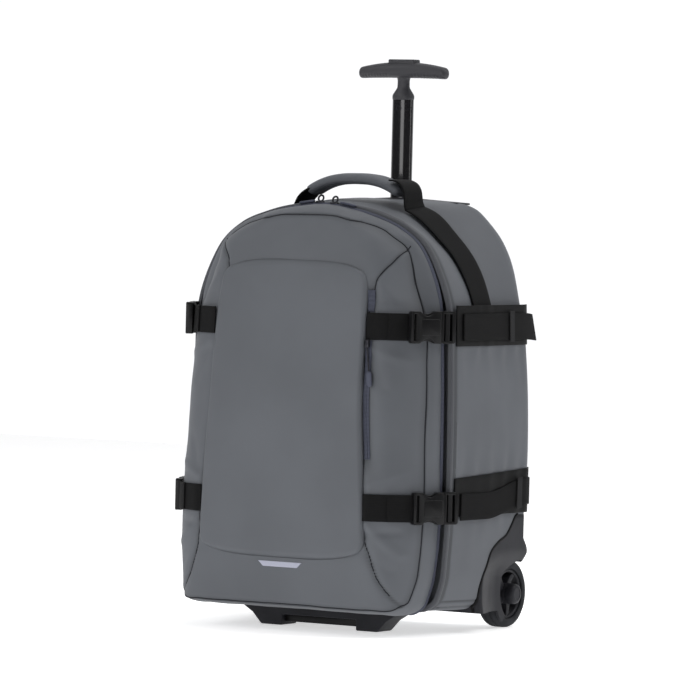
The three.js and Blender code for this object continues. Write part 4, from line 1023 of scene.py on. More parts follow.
for side in (1, -1):
    depths = np.linspace(wing_start, wing_end, 40)
    stations = side_stations(side, depths, lambda _: upper_wing_low, lambda _: upper_wing_high, 0.4 * mm)
    wing = ribbon(named("side_patch_upper", side), stations, 1.5 * mm, black_cloth, strips=8)
    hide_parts(named("upper_wing", side))
    stations = side_stations(side, depths, lambda _: lower_wing_low, lower_wing_top, 0.4 * mm)
    wing = ribbon(named("side_patch_lower", side), stations, 1.5 * mm, black_cloth, strips=8)
    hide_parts(named("lower_wing", side))


# Compression straps: webbing from each buckle back along the side, held by elastic keepers.
# The tail of the upper one stands out straight behind the bag; the lower one wraps round the back.
def lower_strap_at(depth):
    share = min(1, max(0, (depth - handle_depth) / (rear_start - handle_depth)))
    return lower_strap + 14 * mm * ease(share)


strap_start = zip_plane + 26 * mm
upper_stitch = rear_start - 14 * mm
upper_tail = back_plane + 4 * mm
over_patch = 2.4 * mm


def upper_strap_stations(side):
    half = strap_width / 2
    depths = np.linspace(strap_start, upper_stitch, 44)
    stations = side_stations(
        side, depths, lambda _: upper_strap - half, lambda _: upper_strap + half, over_patch)
    low, high, out = stations[-1]
    for share in np.linspace(0.1, 1, 14):
        bend = share * share
        back = Vector((-side * 3 * mm * bend, (upper_tail - upper_stitch) * share, -2 * mm * bend))
        slant = Vector((0, 9 * mm * share * share, 0))
        stations.append((low + back, high + back - slant, out))
    return stations


def lower_strap_stations(side):
    half = strap_width / 2
    depths = np.linspace(strap_start, rear_start, 50)
    stations = side_stations(
        side, depths, lambda depth: lower_strap_at(depth) - half, lambda depth: lower_strap_at(depth) + half,
        over_patch)
    low, high, _ = stations[-1]
    radius = back_corner + over_patch
    centre = abs(low.x) - radius
    for turn in np.linspace(0, math.pi / 2, 12)[1:]:
        out = Vector((side * math.cos(turn), math.sin(turn), 0))
        x = side * (centre + radius * math.cos(turn))
        y = rear_start + radius * math.sin(turn)
        stations.append((Vector((x, y, low.z)), Vector((x, y, high.z)), out))
    end = stations[-1]
    for share in (0.5, 1):
        shift = Vector((-side * 8 * mm * share, 0, 0))
        stations.append((end[0] + shift, end[1] + shift, end[2]))
    return stations


for side in (1, -1):
    strap = ribbon(named("side_strap_upper", side), upper_strap_stations(side), 2 * mm, webbing)
    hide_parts(named("upper_side_webbing", side))
    strap = ribbon(named("side_strap_lower", side), lower_strap_stations(side), 2 * mm, webbing)
    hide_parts(named("lower_side_webbing", side))


# Carry handle: black webbing runs from under the upper side strap up the shoulder of the bag
# and over both ends of a padded cloth sleeve
webbing_half = 20 * mm
strap_foot_height, strap_leave_width = 377 * mm, 77 * mm
fine_turns = np.linspace(0.25, 0.49, 900)
fine_ring = main_ring(fine_turns, handle_depth)
strap_foot_turn = float(np.interp(strap_foot_height, fine_ring[:, 1], fine_turns))
strap_leave_turn = float(np.interp(-strap_leave_width, -fine_ring[:, 0], fine_turns))


def handle_stations(side):
    """The webbing lies on the bag up to the crown, then rises free to the sleeve"""
    stations = []
    lift = 0.7 * mm
    for turn in np.linspace(strap_foot_turn, strap_leave_turn, 50):
        across, up = main_ring(np.array([turn]), handle_depth)[0]
        ahead = main_ring(np.array([turn + 0.002]), handle_depth)[0] - (across, up)
        run = Vector((side * ahead[0], 0, ahead[1])).normalized()
        out = Vector((side * run.z, 0, -side * run.x)).normalized()
        edges = []
        for depth in (handle_depth - webbing_half, handle_depth + webbing_half):
            start = Vector((side * across, depth, up)) + out * 60 * mm
            edges.append(main_surface.ray_cast(start, -out)[0])
        reach = max(edge.dot(out) for edge in edges)
        level = [edge + out * ((reach - edge.dot(out)) * 0.3 + lift) for edge in edges]
        stations.append((level[0], level[1], out))
    start = (stations[-1][0] + stations[-1][1]) / 2
    before = (stations[-5][0] + stations[-5][1]) / 2
    # Over the sleeve's end on the right, and into it on the left
    tops = over_sleeve if side > 0 else into_sleeve
    rows = [before, start] + [Vector((side * across * mm, handle_depth, up * mm)) for across, up in tops]
    steps = [(after - row).length for row, after in zip(rows[:-1], rows[1:])]
    knots = np.concatenate([[0], np.cumsum(steps)])
    free = curve_through(knots, np.array([tuple(row) for row in rows]))
    half = Vector((0, webbing_half, 0))
    tilt = stations[-1][1] - stations[-1][0]
    for place in np.linspace(knots[1], knots[-1], 30)[1:]:
        share = min(1, (place - knots[1]) / (14 * mm))
        point = Vector(free(place)[0])
        run = (Vector(free(place + 0.5 * mm)[0]) - Vector(free(place - 0.5 * mm)[0])).normalized()
        out = Vector((side * run.z, 0, -side * run.x)).normalized()
        across = (tilt * 0.5).lerp(half, ease(share))
        stations.append((point - across, point + across, out))
    return stations


over_sleeve = [(75, 497), (74, 505), (72.5, 512), (68.5, 518), (61.5, 521.6), (53, 522.6)]
into_sleeve = [(76, 493), (71, 500), (64, 506.5), (57, 510.5)]
for side in (1, -1):
    strap = ribbon(named("handle_strap", side), handle_stations(side), 2 * mm, webbing)
    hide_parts(named("handle_webbing", side))


def swept(stations, sides, power=2.0):
    """A closed form from stations that each give a middle, two half axes and a squareness"""
    form = bmesh.new()
    bmesh.ops.create_grid(form, x_segments=sides, y_segments=len(stations) - 1, size=1)
    form.verts.ensure_lookup_table()
    for index, (middle, first, second) in enumerate(stations):
        for step in range(sides + 1):
            angle = 2 * math.pi * step / sides
            c, s = math.cos(angle), math.sin(angle)
            a = math.copysign(abs(c) ** (2 / power), c)
            b = math.copysign(abs(s) ** (2 / power), s)
            form.verts[index * (sides + 1) + step].co = middle + first * a + second * b
    bmesh.ops.remove_doubles(form, verts=form.verts, dist=0.01 * mm)
    bmesh.ops.holes_fill(form, edges=[edge for edge in form.edges if edge.is_boundary])
    bmesh.ops.recalc_face_normals(form, faces=form.faces)
    return form


def make_carry_sleeve():
    half_length = handle_high.x
    top = handle_high.z
    thickness, width = 13 * mm, 34 * mm
    sag, sag_power = 16 * mm, 2.6
    stations = []
    for share in np.linspace(-1, 1, 61):
        level = top - thickness / 2 - sag * abs(share) ** sag_power
        middle = Vector((share * half_length, handle_depth, level))
        fall = sag * sag_power * abs(share) ** (sag_power - 1) * math.copysign(1, share)
        ahead = Vector((1, 0, -fall / half_length)).normalized()
        end = min(1, (1 - abs(share)) / 0.06)
        size = 0.72 + 0.28 * math.sqrt(1 - (1 - end) ** 2)
        puff = 1 + 0.03 * folds(middle, 14 * mm, 31)
        stations.append((
            middle,
            Vector((0, width / 2 * size, 0)),
            Vector((-ahead.z, 0, ahead.x)) * (thickness / 2 * size * puff),
        ))
    form = swept(stations, 36, 2.8)
    form.verts.layers.float.new("seam")
    return form


sleeve = piece_of("carry_sleeve", make_carry_sleeve(), cloth, smooth=60)
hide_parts("carry_handle")


# Elastic keepers: narrow loops across the side straps that hold their loose ends down
keeper_width = 10 * mm
keeper_reach = strap_width / 2 + 2.5 * mm
upper_keeper_depth, lower_keeper_depth = 52.3 * mm, 68.3 * mm
keepers = [
    # piece, depth, height of the strap under it
    ("upper_keeper", upper_keeper_depth, lambda _: upper_strap),
    ("lower_keeper", lower_keeper_depth, lower_strap_at),
]
elastic = make_webbing("elastic", (0.02, 0.02, 0.021), rib=0.9 * mm)
for side in (1, -1):
    for stem, place, middle_of in keepers:
        depths = np.linspace(place - keeper_width / 2, place + keeper_width / 2, 8)
        stations = side_stations(
            side, depths, lambda depth: middle_of(depth) - keeper_reach,
            lambda depth: middle_of(depth) + keeper_reach, over_patch + 2.9 * mm)
        keeper = ribbon(named(stem.replace("_keeper", "_loop"), side), stations, 1.2 * mm, elastic)
        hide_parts(named(stem, side))


# Side release buckles: glossy black plastic. The front half is a hollow body with a slot bar for the
# webbing and two scoops, in which the release arms show. The rear half is a ladder frame with two bars.
gloss_black = Finish("gloss_black", Roughness=0.22, Specular_IOR_Level=0.22)
gloss_place = gloss_black.coordinates()
gloss_grain = gloss_black.noise(700.0, 3.0, gloss_place)
gloss_colour = gloss_black.mix(gloss_grain, (0.004, 0.004, 0.0045, 1), (0.007, 0.007, 0.0075, 1))
gloss_relief = gloss_black.bump(gloss_grain, 0.03 * mm, 0.3)
buckle_plastic = gloss_black.feed(
    Base_Color=gloss_colour, Roughness=0.26 + gloss_grain * 0.14, Normal=gloss_relief)

buckle_turn = math.radians(26.5)
buckle_length, buckle_height, buckle_thickness = 60 * mm, 37 * mm, 9 * mm


def slab(outline, low, high):
    """A plate from an outline along and across a buckle, between two levels outwards"""
    form = bmesh.new()
    face = form.faces.new([form.verts.new((along, across, low)) for along, across in outline])
    pulled = bmesh.ops.extrude_face_region(form, geom=[face])
    moved = [vert for vert in pulled["geom"] if isinstance(vert, bmesh.types.BMVert)]
    bmesh.ops.translate(form, vec=(0, 0, high - low), verts=moved)
    bmesh.ops.recalc_face_normals(form, faces=form.faces)
    return form


def rounded_box(start, end, half, corner):
    """Outline of a rectangle with round corners, from one place along to another"""
    outline = []
    for x, y, turn in ((end, half, 0), (start, half, 90), (start, -half, 180), (end, -half, 270)):
        inward_x = x - corner if x == end else x + corner
        inward_y = y - corner if y > 0 else y + corner
        for step in (0, 22.5, 45, 67.5, 90):
            angle = math.radians(turn + step)
            outline.append((inward_x + corner * math.cos(angle), inward_y + corner * math.sin(angle)))
    return outline


def buckle_body_outline():
    """The front half, with a scoop above and below"""
    half = buckle_height / 2
    scoop = 5.2 * mm
    top = []
    for share in np.linspace(0, 1, 17):
        along = 12 * mm + share * 19 * mm
        top.append((along, half - 0.3 * mm - scoop * math.sin(math.pi * share) ** 0.8))
    upper = [(0, half - 2 * mm), (0.6 * mm, half - 0.6 * mm), (2 * mm, half), (10 * mm, half), *top]
    upper += [(33 * mm, half), (40 * mm, half)]
    lower = [(along, -across) for along, across in reversed(upper)]
    return [*upper, *lower]


def bevelled(name, form, width, material, segments=3, limit=35, cuts=(), body="bag"):
    """A moulded piece: a form with holes cut in it and its edges rounded"""
    piece = piece_of(name, form, material, smooth=180, body=body)
    for cutter in cuts:
        cut_with(piece, cutter)
    edge = piece.modifiers.new("edge", "BEVEL")
    edge.width = width
    edge.segments = segments
    edge.limit_method = "ANGLE"
    edge.angle_limit = math.radians(limit)
    finish_modifiers(piece)
    piece.data.set_sharp_from_angle(angle=math.radians(40))
    return piece


def join_pieces(name, pieces, body="bag"):
    """Joins the meshes of several pieces in one piece"""
    form = bmesh.new()
    for piece in pieces:
        form.from_mesh(piece.data)
    material = pieces[0].data.materials[0]
    joined = piece_of(name, form, material, smooth=40, body=body)
    for piece in pieces:
        mesh = piece.data
        bpy.data.objects.remove(piece)
        bpy.data.meshes.remove(mesh)
    return joined


def slot_cutter(start, end, half, corner):
    """A cutter for a slot that goes right through a buckle"""
    return slab(rounded_box(start, end, half, corner), -1 * mm, buckle_thickness + 3 * mm)


def make_buckle(side, stem):
    half = buckle_height / 2
    strap_half = strap_width / 2
    front_slot = slot_cutter(3.2 * mm, 6.6 * mm, strap_half, 0.8 * mm)
    strap_slot = slot_cutter(52 * mm, 55.6 * mm, strap_half, 0.8 * mm)
    narrow_slot = slot_cutter(44.4 * mm, 46.4 * mm, strap_half + 0.5 * mm, 0.6 * mm)
    front_half = slab(buckle_body_outline(), 0.5 * mm, 8.8 * mm)
    rear_half = slab(rounded_box(40.6 * mm, buckle_length, half, 3 * mm), 0.8 * mm, 7.4 * mm)
    raised = slab(rounded_box(13 * mm, 38 * mm, 9.5 * mm, 3 * mm), 8.2 * mm, 9.4 * mm)
    parts = [
        bevelled("body", front_half, 1.1 * mm, buckle_plastic, cuts=[front_slot]),
        bevelled("rear", rear_half, 1.2 * mm, buckle_plastic, cuts=[strap_slot, narrow_slot]),
        bevelled("raised", raised, 0.5 * mm, buckle_plastic),
    ]
    for way in (1, -1):
        outline = []
        for share in np.linspace(0, 1, 13):
            along = 12.5 * mm + share * 18 * mm
            outline.append((along, way * (half - 0.6 * mm - 2.6 * mm * math.sin(math.pi * share) ** 0.9)))
        outline += [(32 * mm, way * 8 * mm), (12 * mm, way * 8 * mm)]
        parts.append(bevelled("arm", slab(outline, 2.2 * mm, 6.2 * mm), 0.5 * mm, buckle_plastic))
    node = named(stem, side)
    low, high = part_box(node)
    middle = (low + high) / 2
    along = Vector((side * math.sin(buckle_turn), math.cos(buckle_turn), 0))
    out = Vector((side * math.cos(buckle_turn), -math.sin(buckle_turn), 0))
    up = Vector((0, 0, 1))
    axes = Matrix((along, up, out)).transposed().to_4x4()
    from_corner = Matrix.Translation((-buckle_length / 2, 0, -buckle_thickness / 2))
    placed = Matrix.Translation(middle) @ axes @ from_corner
    buckle = join_pieces(named("clip_" + stem.split("_")[0], side), parts)
    buckle.data.transform(placed)
    if placed.determinant() < 0:
        buckle.data.flip_normals()
    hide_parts(node)
    return middle, along, out


buckle_places = {}
for side in (1, -1):
    for stem in ("upper_buckle", "lower_buckle"):
        buckle_places[named(stem, side)] = make_buckle(side, stem)


# Front straps: webbing sewn in at the raised panel, round the front corner into each buckle.
# A second layer folds back from the slot bar.
def front_strap_stations(side, height, stem, fold=False):
    half = strap_width / 2
    low, high = height - half, height + half
    middle, along, out = buckle_places[named(stem, side)]
    slot = middle - along * (buckle_length / 2 - 5 * mm)
    start = max(panel_half(low), panel_half(high)) - 1 * mm
    end = abs(slot.x) - 5.5 * mm
    if fold:
        start = start + (end - start) * 0.56
    stations = []
    for across in np.linspace(start, end, 26):
        depths = [face_at(side * across, low), face_at(side * across, height), face_at(side * across, high)]
        slope = face_at(side * (across + 2 * mm), height) - face_at(side * (across - 2 * mm), height)
        slope /= 4 * mm
        level = min(depths)
        way = Vector((side * min(slope, 2.5), -1, 0)).normalized()
        lift = 2.9 * mm if fold else 0.5 * mm
        lower = Vector((side * across, level * 0.75 + depths[0] * 0.25, low)) + way * lift
        upper = Vector((side * across, level * 0.75 + depths[2] * 0.25, high)) + way * lift
        stations.append((lower, upper, way))
    rise = 2.5 * mm if fold else 0.5 * mm
    for share in (0.5, 1.0):
        last_low, last_high, way = stations[-1]
        target = slot + out * (rise - 1.0 * mm)
        point_low = last_low.lerp(Vector((target.x, target.y, low)), share)
        point_high = last_high.lerp(Vector((target.x, target.y, high)), share)
        stations.append((point_low, point_high, way.lerp(out, share).normalized()))
    return stations


for side in (1, -1):
    for stem, height in (("upper", upper_strap), ("lower", lower_strap)):
        stations = front_strap_stations(side, height, stem + "_buckle")
        strap = ribbon(named(f"front_strap_{stem}", side), stations, 2 * mm, webbing)
        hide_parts(named(f"{stem}_front_webbing", side))
        stations = front_strap_stations(side, height, stem + "_buckle", fold=True)
        ribbon(named(f"strap_fold_{stem}", side), stations, 1.6 * mm, webbing)


# Main zip: a coil zip on slate tape in the groove between the two compartments, with a hem beside it
slate_tone = (0.062, 0.068, 0.098)


def make_tape(name, tone):
    finish = Finish(name, Roughness=0.7, Specular_IOR_Level=0.35)
    across, along, _ = finish.axes(finish.node("ShaderNodeUVMap", {"uv_map": "along"}, {}))
    teeth = (along * (2 * math.pi / (1.5 * mm))).sine()
    threads = finish.noise(1800.0, 2.0, finish.coordinates())
    height = teeth * 0.7 + threads * 0.4
    # Lighter on the teeth and darker between them: partly the coil's pattern, partly painted shade
    colour = finish.mix(height.between(-0.6, 1.0), shade(tone, 0.62), shade(tone, 1.2))
    relief = finish.bump(height, 0.25 * mm, 0.8)
    return finish.feed(Base_Color=colour, Roughness=0.55 + threads * 0.2, Normal=relief)


zip_tape = make_tape("zip_tape", slate_tone)


def ring_band(name, station, profile, material, node):
    """A strip all round the body: profile gives depths and how far it stands out, as a closed loop"""
    columns = main_columns
    turns = evenly_round(outline_curves[station], columns + 1)
    ring = outline_curves[station](turns)
    centre = np.array([0, main_centre])
    outward = ring - centre
    outward /= np.linalg.norm(outward, axis=1)[:, None]
    run = np.concatenate([[0], np.cumsum(np.hypot(*np.diff(ring, axis=0).T))])
    form = bmesh.new()
    bmesh.ops.create_grid(form, x_segments=columns, y_segments=len(profile), size=1)
    form.verts.ensure_lookup_table()
    mark = form.verts.layers.float_vector.new("where")
    for row in range(len(profile) + 1):
        depth, out = profile[row % len(profile)]
        for column in range(columns + 1):
            vert = form.verts[row * (columns + 1) + column]
            across, up = ring[column] + outward[column] * out
            vert.co = (across, depth, up)
            vert[mark] = Vector((depth, run[column], 0))
    uv = form.loops.layers.uv.new("along")
    for face in form.faces:
        for loop in face.loops:
            loop[uv].uv = loop.vert[mark].xy
    bmesh.ops.remove_doubles(form, verts=form.verts, dist=0.02 * mm)
    bmesh.ops.recalc_face_normals(form, faces=form.faces)
    band = piece_of(name, form, material, smooth=50)
    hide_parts(node)
    return band


# Depths and how far out, in millimetres, of the tape with its coil, and of the hem behind it
zip_profile = [
    (-76.4, -3.4), (-76.2, 0.2), (-75.2, 0.8), (-74.4, 1.7), (-73.6, 2.0), (-72.8, 1.7), (-72.0, 0.8),
    (-71.2, 0.2), (-71.0, -3.4),
]
hem_profile = [
    (-71.2, -4), (-71.0, -0.4), (-70.4, 0.8), (-69.2, 1.3), (-66.4, 1.3), (-65.0, 0.9), (-64.3, -0.4),
    (-64.1, -4),
]


def in_mm(profile):
    """A profile that is written in millimetres, in metres"""
    return [(first * mm, second * mm) for first, second in profile]


ring_band("coil_zip", "zip", in_mm(zip_profile), zip_tape, "main_zip")
hem_cloth = make_cloth("hem_cloth", (0.068, 0.071, 0.08))
hem = ring_band("zip_hem", "front", in_mm(hem_profile), hem_cloth, "zip_flap")
hem.data.attributes.new("seam", "FLOAT", "POINT")


# Pocket zip: slate tape with its coil, sunk in the shade of the raised panel's right edge
def pocket_stations(low, high, near, far, lift):
    stations = []
    for up in np.linspace(low, high, 40):
        across = panel_half(up)
        points = []
        for reach in (near, far):
            points.append(Vector((across + reach, face_at(across + reach, up) - lift, up)))
        stations.append((points[0], points[1], Vector((0.1, -1, 0)).normalized()))
    return stations


pocket_low, pocket_high = 205 * mm, 398 * mm
strap_gap = strap_width / 2 + 1 * mm
stretches = [
    ("pocket_zip_lower", pocket_low, upper_strap - strap_gap),
    ("pocket_zip_upper", upper_strap + strap_gap, pocket_high),
]
for node, low, high in stretches:
    stations = pocket_stations(low, high, -0.5 * mm, 7.5 * mm, 0.2 * mm)
    tape = ribbon(node.replace("zip", "tape"), stations, 0.9 * mm, zip_tape)
    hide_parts(node)
    coil = pocket_stations(low, high, 2.4 * mm, 4.6 * mm, 1.0 * mm)
    ribbon(node.replace("zip", "coil"), coil, 1.1 * mm, zip_tape, strips=2)


# Reflective mark: a silver film strip bonded low on the front
film = Finish("reflective_film", Roughness=0.35, Metallic=0.15)
film_grain = film.noise(1500.0, 2.0, film.coordinates())
film_colour = film.mix(film_grain, (0.33, 0.34, 0.42, 1), (0.43, 0.44, 0.53, 1))
reflective = film.feed(
    Base_Color=film_colour, Roughness=0.3 + film_grain * 0.15, Normal=film.bump(film_grain, 0.04 * mm, 0.5))


film_low, film_height = 75.5 * mm, 6.2 * mm
film_half, film_flare = 23 * mm, 6.5 * mm
film_thickness = 0.5 * mm


def make_film():
    form = bmesh.new()
    bmesh.ops.create_grid(form, x_segments=40, y_segments=6, size=1)
    for vert in form.verts:
        share = (vert.co.y + 1) / 2
        across = vert.co.x * (film_half + film_flare * share)
        up = film_low + film_height * share
        vert.co = (across, face_at(across, up) - film_thickness, up)
    bmesh.ops.recalc_face_normals(form, faces=form.faces)
    if sum(face.normal.y for face in form.faces) > 0:
        bmesh.ops.reverse_faces(form, faces=form.faces)
    strip = piece_of("film_strip", form, reflective, smooth=60)
    wall = strip.modifiers.new("wall", "SOLIDIFY")
    wall.thickness = film_thickness
    wall.offset = -1
    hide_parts("reflective_mark")


make_film()


# Wheels: a rubber tyre on a moulded rim with five swept spokes, and a domed cap over the hub.
# Tyre, rim and cap turn together on a steel axle.
rubber = Finish("rubber", Roughness=0.75, Specular_IOR_Level=0.15)
rubber_place = rubber.coordinates()
rubber_grain = rubber.noise(1100.0, 3.0, rubber_place)
rubber_wear = rubber.noise(60.0, 2.0, rubber_place)
rubber_colour = rubber.mix(
    rubber_wear.between(0.35, 0.7), (0.02, 0.021, 0.024, 1), (0.03, 0.031, 0.035, 1))
rubber_relief = rubber.bump(rubber_grain, 0.1 * mm, 0.5)
tyre_rubber = rubber.feed(
    Base_Color=rubber_colour, Roughness=0.62 + rubber_grain * 0.2, Normal=rubber_relief)


def turned(profile, sides, side=1):
    """A round form about the axle from a closed profile of widths and radii"""
    form = bmesh.new()
    bmesh.ops.create_grid(form, x_segments=sides, y_segments=len(profile), size=1)
    form.verts.ensure_lookup_table()
    for row in range(len(profile) + 1):
        width, radius = profile[row % len(profile)]
        for column in range(sides + 1):
            angle = 2 * math.pi * column / sides
            form.verts[row * (sides + 1) + column].co = (
                side * width, axle.y + radius * math.sin(angle), axle.z + radius * math.cos(angle))
    bmesh.ops.remove_doubles(form, verts=form.verts, dist=0.01 * mm)
    bmesh.ops.recalc_face_normals(form, faces=form.faces)
    return form


# Widths and radii of the round pieces of a wheel, in millimetres
tyre_profile = [
    (130.4, 30.4), (130.2, 33), (130.6, 36.2), (132.2, 38.6), (134.6, 39.7), (137, 39.9), (137.5, 39.2),
    (138.3, 39.2), (138.8, 39.95), (145.2, 39.95), (145.7, 39.2), (146.5, 39.2), (147, 39.9), (149.4, 39.7),
    (151.8, 38.6), (153.4, 36.2), (153.8, 33), (153.6, 30.4), (152.8, 29.4), (131.2, 29.4),
]
rim_profile = [
    (133.2, 29.2), (133.2, 26.6), (150.2, 25.6), (150.9, 26.2), (151.2, 27.6), (150.9, 28.8), (150.4, 29.2),
]
hub_profile = [(124, 4.4), (124, 12), (151, 12.4), (152.4, 11.6), (152.4, 4.4)]
cap_profile = [
    (152.8, 0.01), (152.8, 12), (154.5, 12.3), (160.2, 12), (162.4, 11), (163.6, 9.4), (163.9, 7.4),
    (163.3, 6.6), (163.3, 0.01),
]
spoke_count = 5
first_spoke = 0.35
spoke_start, spoke_end = 11.5, 26.8
spoke_in, spoke_out = 134 * mm, 149.6 * mm


def spoke_outline(number):
    """A swept spoke in depth and height: it narrows and swings towards the rim"""
    start = 2 * math.pi * number / spoke_count + first_spoke
    outline = []
    outwards = np.linspace(spoke_start, spoke_end, 8)
    for way, radii in ((1, outwards), (-1, outwards[::-1])):
        for radius in radii:
            swing = 0.5 * (radius - 12.5) / 29
            half = (4.4 - 1.3 * (radius - spoke_start) / 15) / radius
            angle = start + swing + way * half
            outline.append((axle.y + radius * mm * math.sin(angle), axle.z + radius * mm * math.cos(angle)))
    return outline


def make_wheel(side):
    body = named("wheel", side)
    tyre = turned(in_mm(tyre_profile), 96, side)
    tyre = piece_of(named("tyre", side), tyre, tyre_rubber, smooth=40, body=body)
    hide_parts(named("wheel_tyre", side))
    form = turned(in_mm(rim_profile), 96, side)
    add_form(form, turned(in_mm(hub_profile), 48, side))
    rings = [piece_of("ring", form, charcoal, body=body)]
    for number in range(spoke_count):
        spoke = prism(spoke_outline(number), side * spoke_in, side * spoke_out)
        rings.append(bevelled("spoke", spoke, 1.0 * mm, charcoal, body=body))
    rim = join_pieces(named("rim", side), rings, body=body)
    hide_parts(named("wheel_rim", side))
    cap = piece_of(named("cap", side), turned(in_mm(cap_profile), 48, side), charcoal, smooth=35, body=body)
    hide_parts(named("wheel_cap", side))


for side in (1, -1):
    make_wheel(side)


# Telescopic pole: a black anodised oval tube in a guide tube, with a plate on the back of the top
tube_finish = Finish("black_tube", Roughness=0.16, Metallic=0.25, Specular_IOR_Level=0.7, Coat_Weight=0.4)
tube_place = tube_finish.coordinates()
tube_scratches = tube_finish.noise(240.0, 3.0, tube_place)
tube_colour = tube_finish.mix(tube_scratches, (0.0045, 0.0045, 0.006, 1), (0.008, 0.008, 0.01, 1))
anodised = tube_finish.feed(
    Base_Color=tube_colour,
    Roughness=0.13 + tube_scratches * 0.1,
    Normal=tube_finish.bump(tube_scratches, 0.02 * mm, 0.2),
)
pole_low, pole_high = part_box("pole")
pole_middle = (pole_low + pole_high) / 2
pole_half = (pole_high - pole_low) / 2
levels = [pole_low.z, pole_low.z + 0.5 * mm]
levels += [*np.linspace(pole_low.z + 1 * mm, pole_high.z - 1 * mm, 6), pole_high.z]
stations = []
for level in levels:
    middle = Vector((0, pole_middle.y, level))
    stations.append((middle, Vector((pole_half.x, 0, 0)), Vector((0, pole_half.y, 0))))
pole = piece_of("pole_tube", swept(stations, 64, 2.3), anodised, smooth=40, body="handle")
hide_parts("pole")

rivet_drop = 10 * mm
rivet_place = Vector((0, pole_low.y, pole_high.z - rivet_drop))


def button_round(name, centre, profile, material, body):
    """A small round piece about a line along the depth, from a profile of depths and radii"""
    form = bmesh.new()
    sides = 40
    bmesh.ops.create_grid(form, x_segments=sides, y_segments=len(profile) - 1, size=1)
    form.verts.ensure_lookup_table()
    for row, (depth, radius) in enumerate(profile):
        for column in range(sides + 1):
            angle = 2 * math.pi * column / sides
            offset = Vector((radius * math.cos(angle), depth, radius * math.sin(angle)))
            form.verts[row * (sides + 1) + column].co = centre + offset
    bmesh.ops.remove_doubles(form, verts=form.verts, dist=0.01 * mm)
    bmesh.ops.holes_fill(form, edges=[edge for edge in form.edges if edge.is_boundary])
    bmesh.ops.recalc_face_normals(form, faces=form.faces)
    return piece_of(name, form, material, smooth=35, body=body)


# Depths and radii of the rivet's head, in millimetres: it stands level with the tube, so it clears the guide
rivet_profile = [
    (1.2, 0.01), (1.2, 4), (0.5, 4), (0.1, 3.6), (0.02, 3), (0.5, 2.6), (0.6, 1.9), (0.6, 0.01),
]
rivet = button_round("rivet_head", rivet_place, in_mm(rivet_profile), charcoal, "handle")
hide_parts("pole_rivet")


# Grip: moulded charcoal plastic, a flared collar and a neck under an arched cross bar.
# Its underside has finger ribs, and the release button stands in a well on top.
soft_plastic = Finish("grip_plastic", Roughness=0.5, Specular_IOR_Level=0.3)
soft_place = soft_plastic.coordinates()
soft_grain = soft_plastic.noise(1600.0, 3.0, soft_place)
soft_colour = soft_plastic.mix(soft_grain, (0.038, 0.038, 0.043, 1), (0.05, 0.05, 0.056, 1))
soft_relief = soft_plastic.bump(soft_grain, 0.06 * mm, 0.4)
grip_plastic = soft_plastic.feed(
    Base_Color=soft_colour, Roughness=0.42 + soft_grain * 0.2, Normal=soft_relief)
grip_low, grip_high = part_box("grip")
grip_centre = Vector((0, pole_middle.y, 0))
grip_middle = 654 * mm
grip_half = grip_high.x
grip_stations = 241
rib_start, rib_end, rib_pitch, rib_depth = 15 * mm, 52 * mm, 4.2 * mm, 0.9 * mm
button_travel, button_play = 4 * mm, 0.5 * mm
neck_rows = [
    # height and half width, in millimetres
    (618.3, 12.7), (618.9, 13.1), (620.2, 13.5), (622.5, 13.6), (624.6, 13.1), (629, 10.2), (632.6, 8.0),
    (634.5, 7.6), (641, 7.5), (644, 8.0), (646.4, 9.6), (648.6, 12.5),
]


def make_grip():
    stations = []
    for share in np.linspace(-1, 1, grip_stations):
        around = share * share
        end = max(0, (abs(share) - 0.93) / 0.07)
        tip = math.sqrt(max(0.02, 1 - end * end))
        tall = (19 - 6 * around) * mm
        deep = (24 - 11 * around) * mm
        low = grip_middle - 9.5 * mm + 2 * mm * around
        middle = low + tall / 2 - 3 * mm * around
        stations.append((
            Vector((share * grip_half, grip_centre.y, middle)),
            Vector((0, deep / 2 * tip, 0)),
            Vector((0, 0, tall / 2 * tip)),
        ))
    bar = swept(stations, 40, 2.3)
    for vert in bar.verts:
        along = abs(vert.co.x)
        share = along / grip_half
        middle = grip_middle - 3 * mm * share * share
        below = min(1, max(0, (middle - 2 * mm - vert.co.z) / (4 * mm)))
        inside = min(1, max(0, (along - rib_start) / (3 * mm))) * min(1, max(0, (rib_end - along) / (3 * mm)))
        wave = 0.5 + 0.5 * math.sin(2 * math.pi * along / rib_pitch)
        vert.co.z += below * inside * rib_depth * wave
    neck = []
    for height, half in neck_rows:
        middle = Vector((0, grip_centre.y, height * mm))
        neck.append((middle, Vector((half * mm, 0, 0)), Vector((0, half * 10 / 13 * mm, 0))))
    add_form(bar, swept(neck, 48, 2.2))
    grip = piece_of("grip_bar", bar, grip_plastic, smooth=180, body="handle")
    # The well that the button sinks into
    button_low, button_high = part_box("grip_button")
    half_length = button_high.x + button_play
    well = bmesh.new()
    bmesh.ops.create_cube(well, size=1)
    for vert in well.verts:
        vert.co.x *= 2 * half_length
        vert.co.y = grip_centre.y + vert.co.y * (button_high.y - button_low.y + 2 * button_play)
        floor_level = button_low.z - button_travel - 0.4 * mm
        vert.co.z = floor_level if vert.co.z < 0 else button_high.z + 10 * mm
    cut_with(grip, well)
    grip.data.set_sharp_from_angle(angle=math.radians(50))
    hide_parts("grip")


make_grip()


def copy_of(node, name, width, material, body="bag", segments=3):
    """A rounded copy of a plain moulded piece"""
    form = bmesh.new()
    form.from_mesh(bpy.data.objects[node].data)
    bmesh.ops.remove_doubles(form, verts=form.verts, dist=0.01 * mm)
    bmesh.ops.dissolve_limit(form, angle_limit=math.radians(3), verts=form.verts, edges=form.edges)
    bmesh.ops.recalc_face_normals(form, faces=form.faces)
    piece = bevelled(name, form, width, material, segments=segments, limit=20, body=body)
    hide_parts(node)
    return piece


copy_of("grip_button", "release_button", 1.6 * mm, grip_plastic, body="button", segments=4)
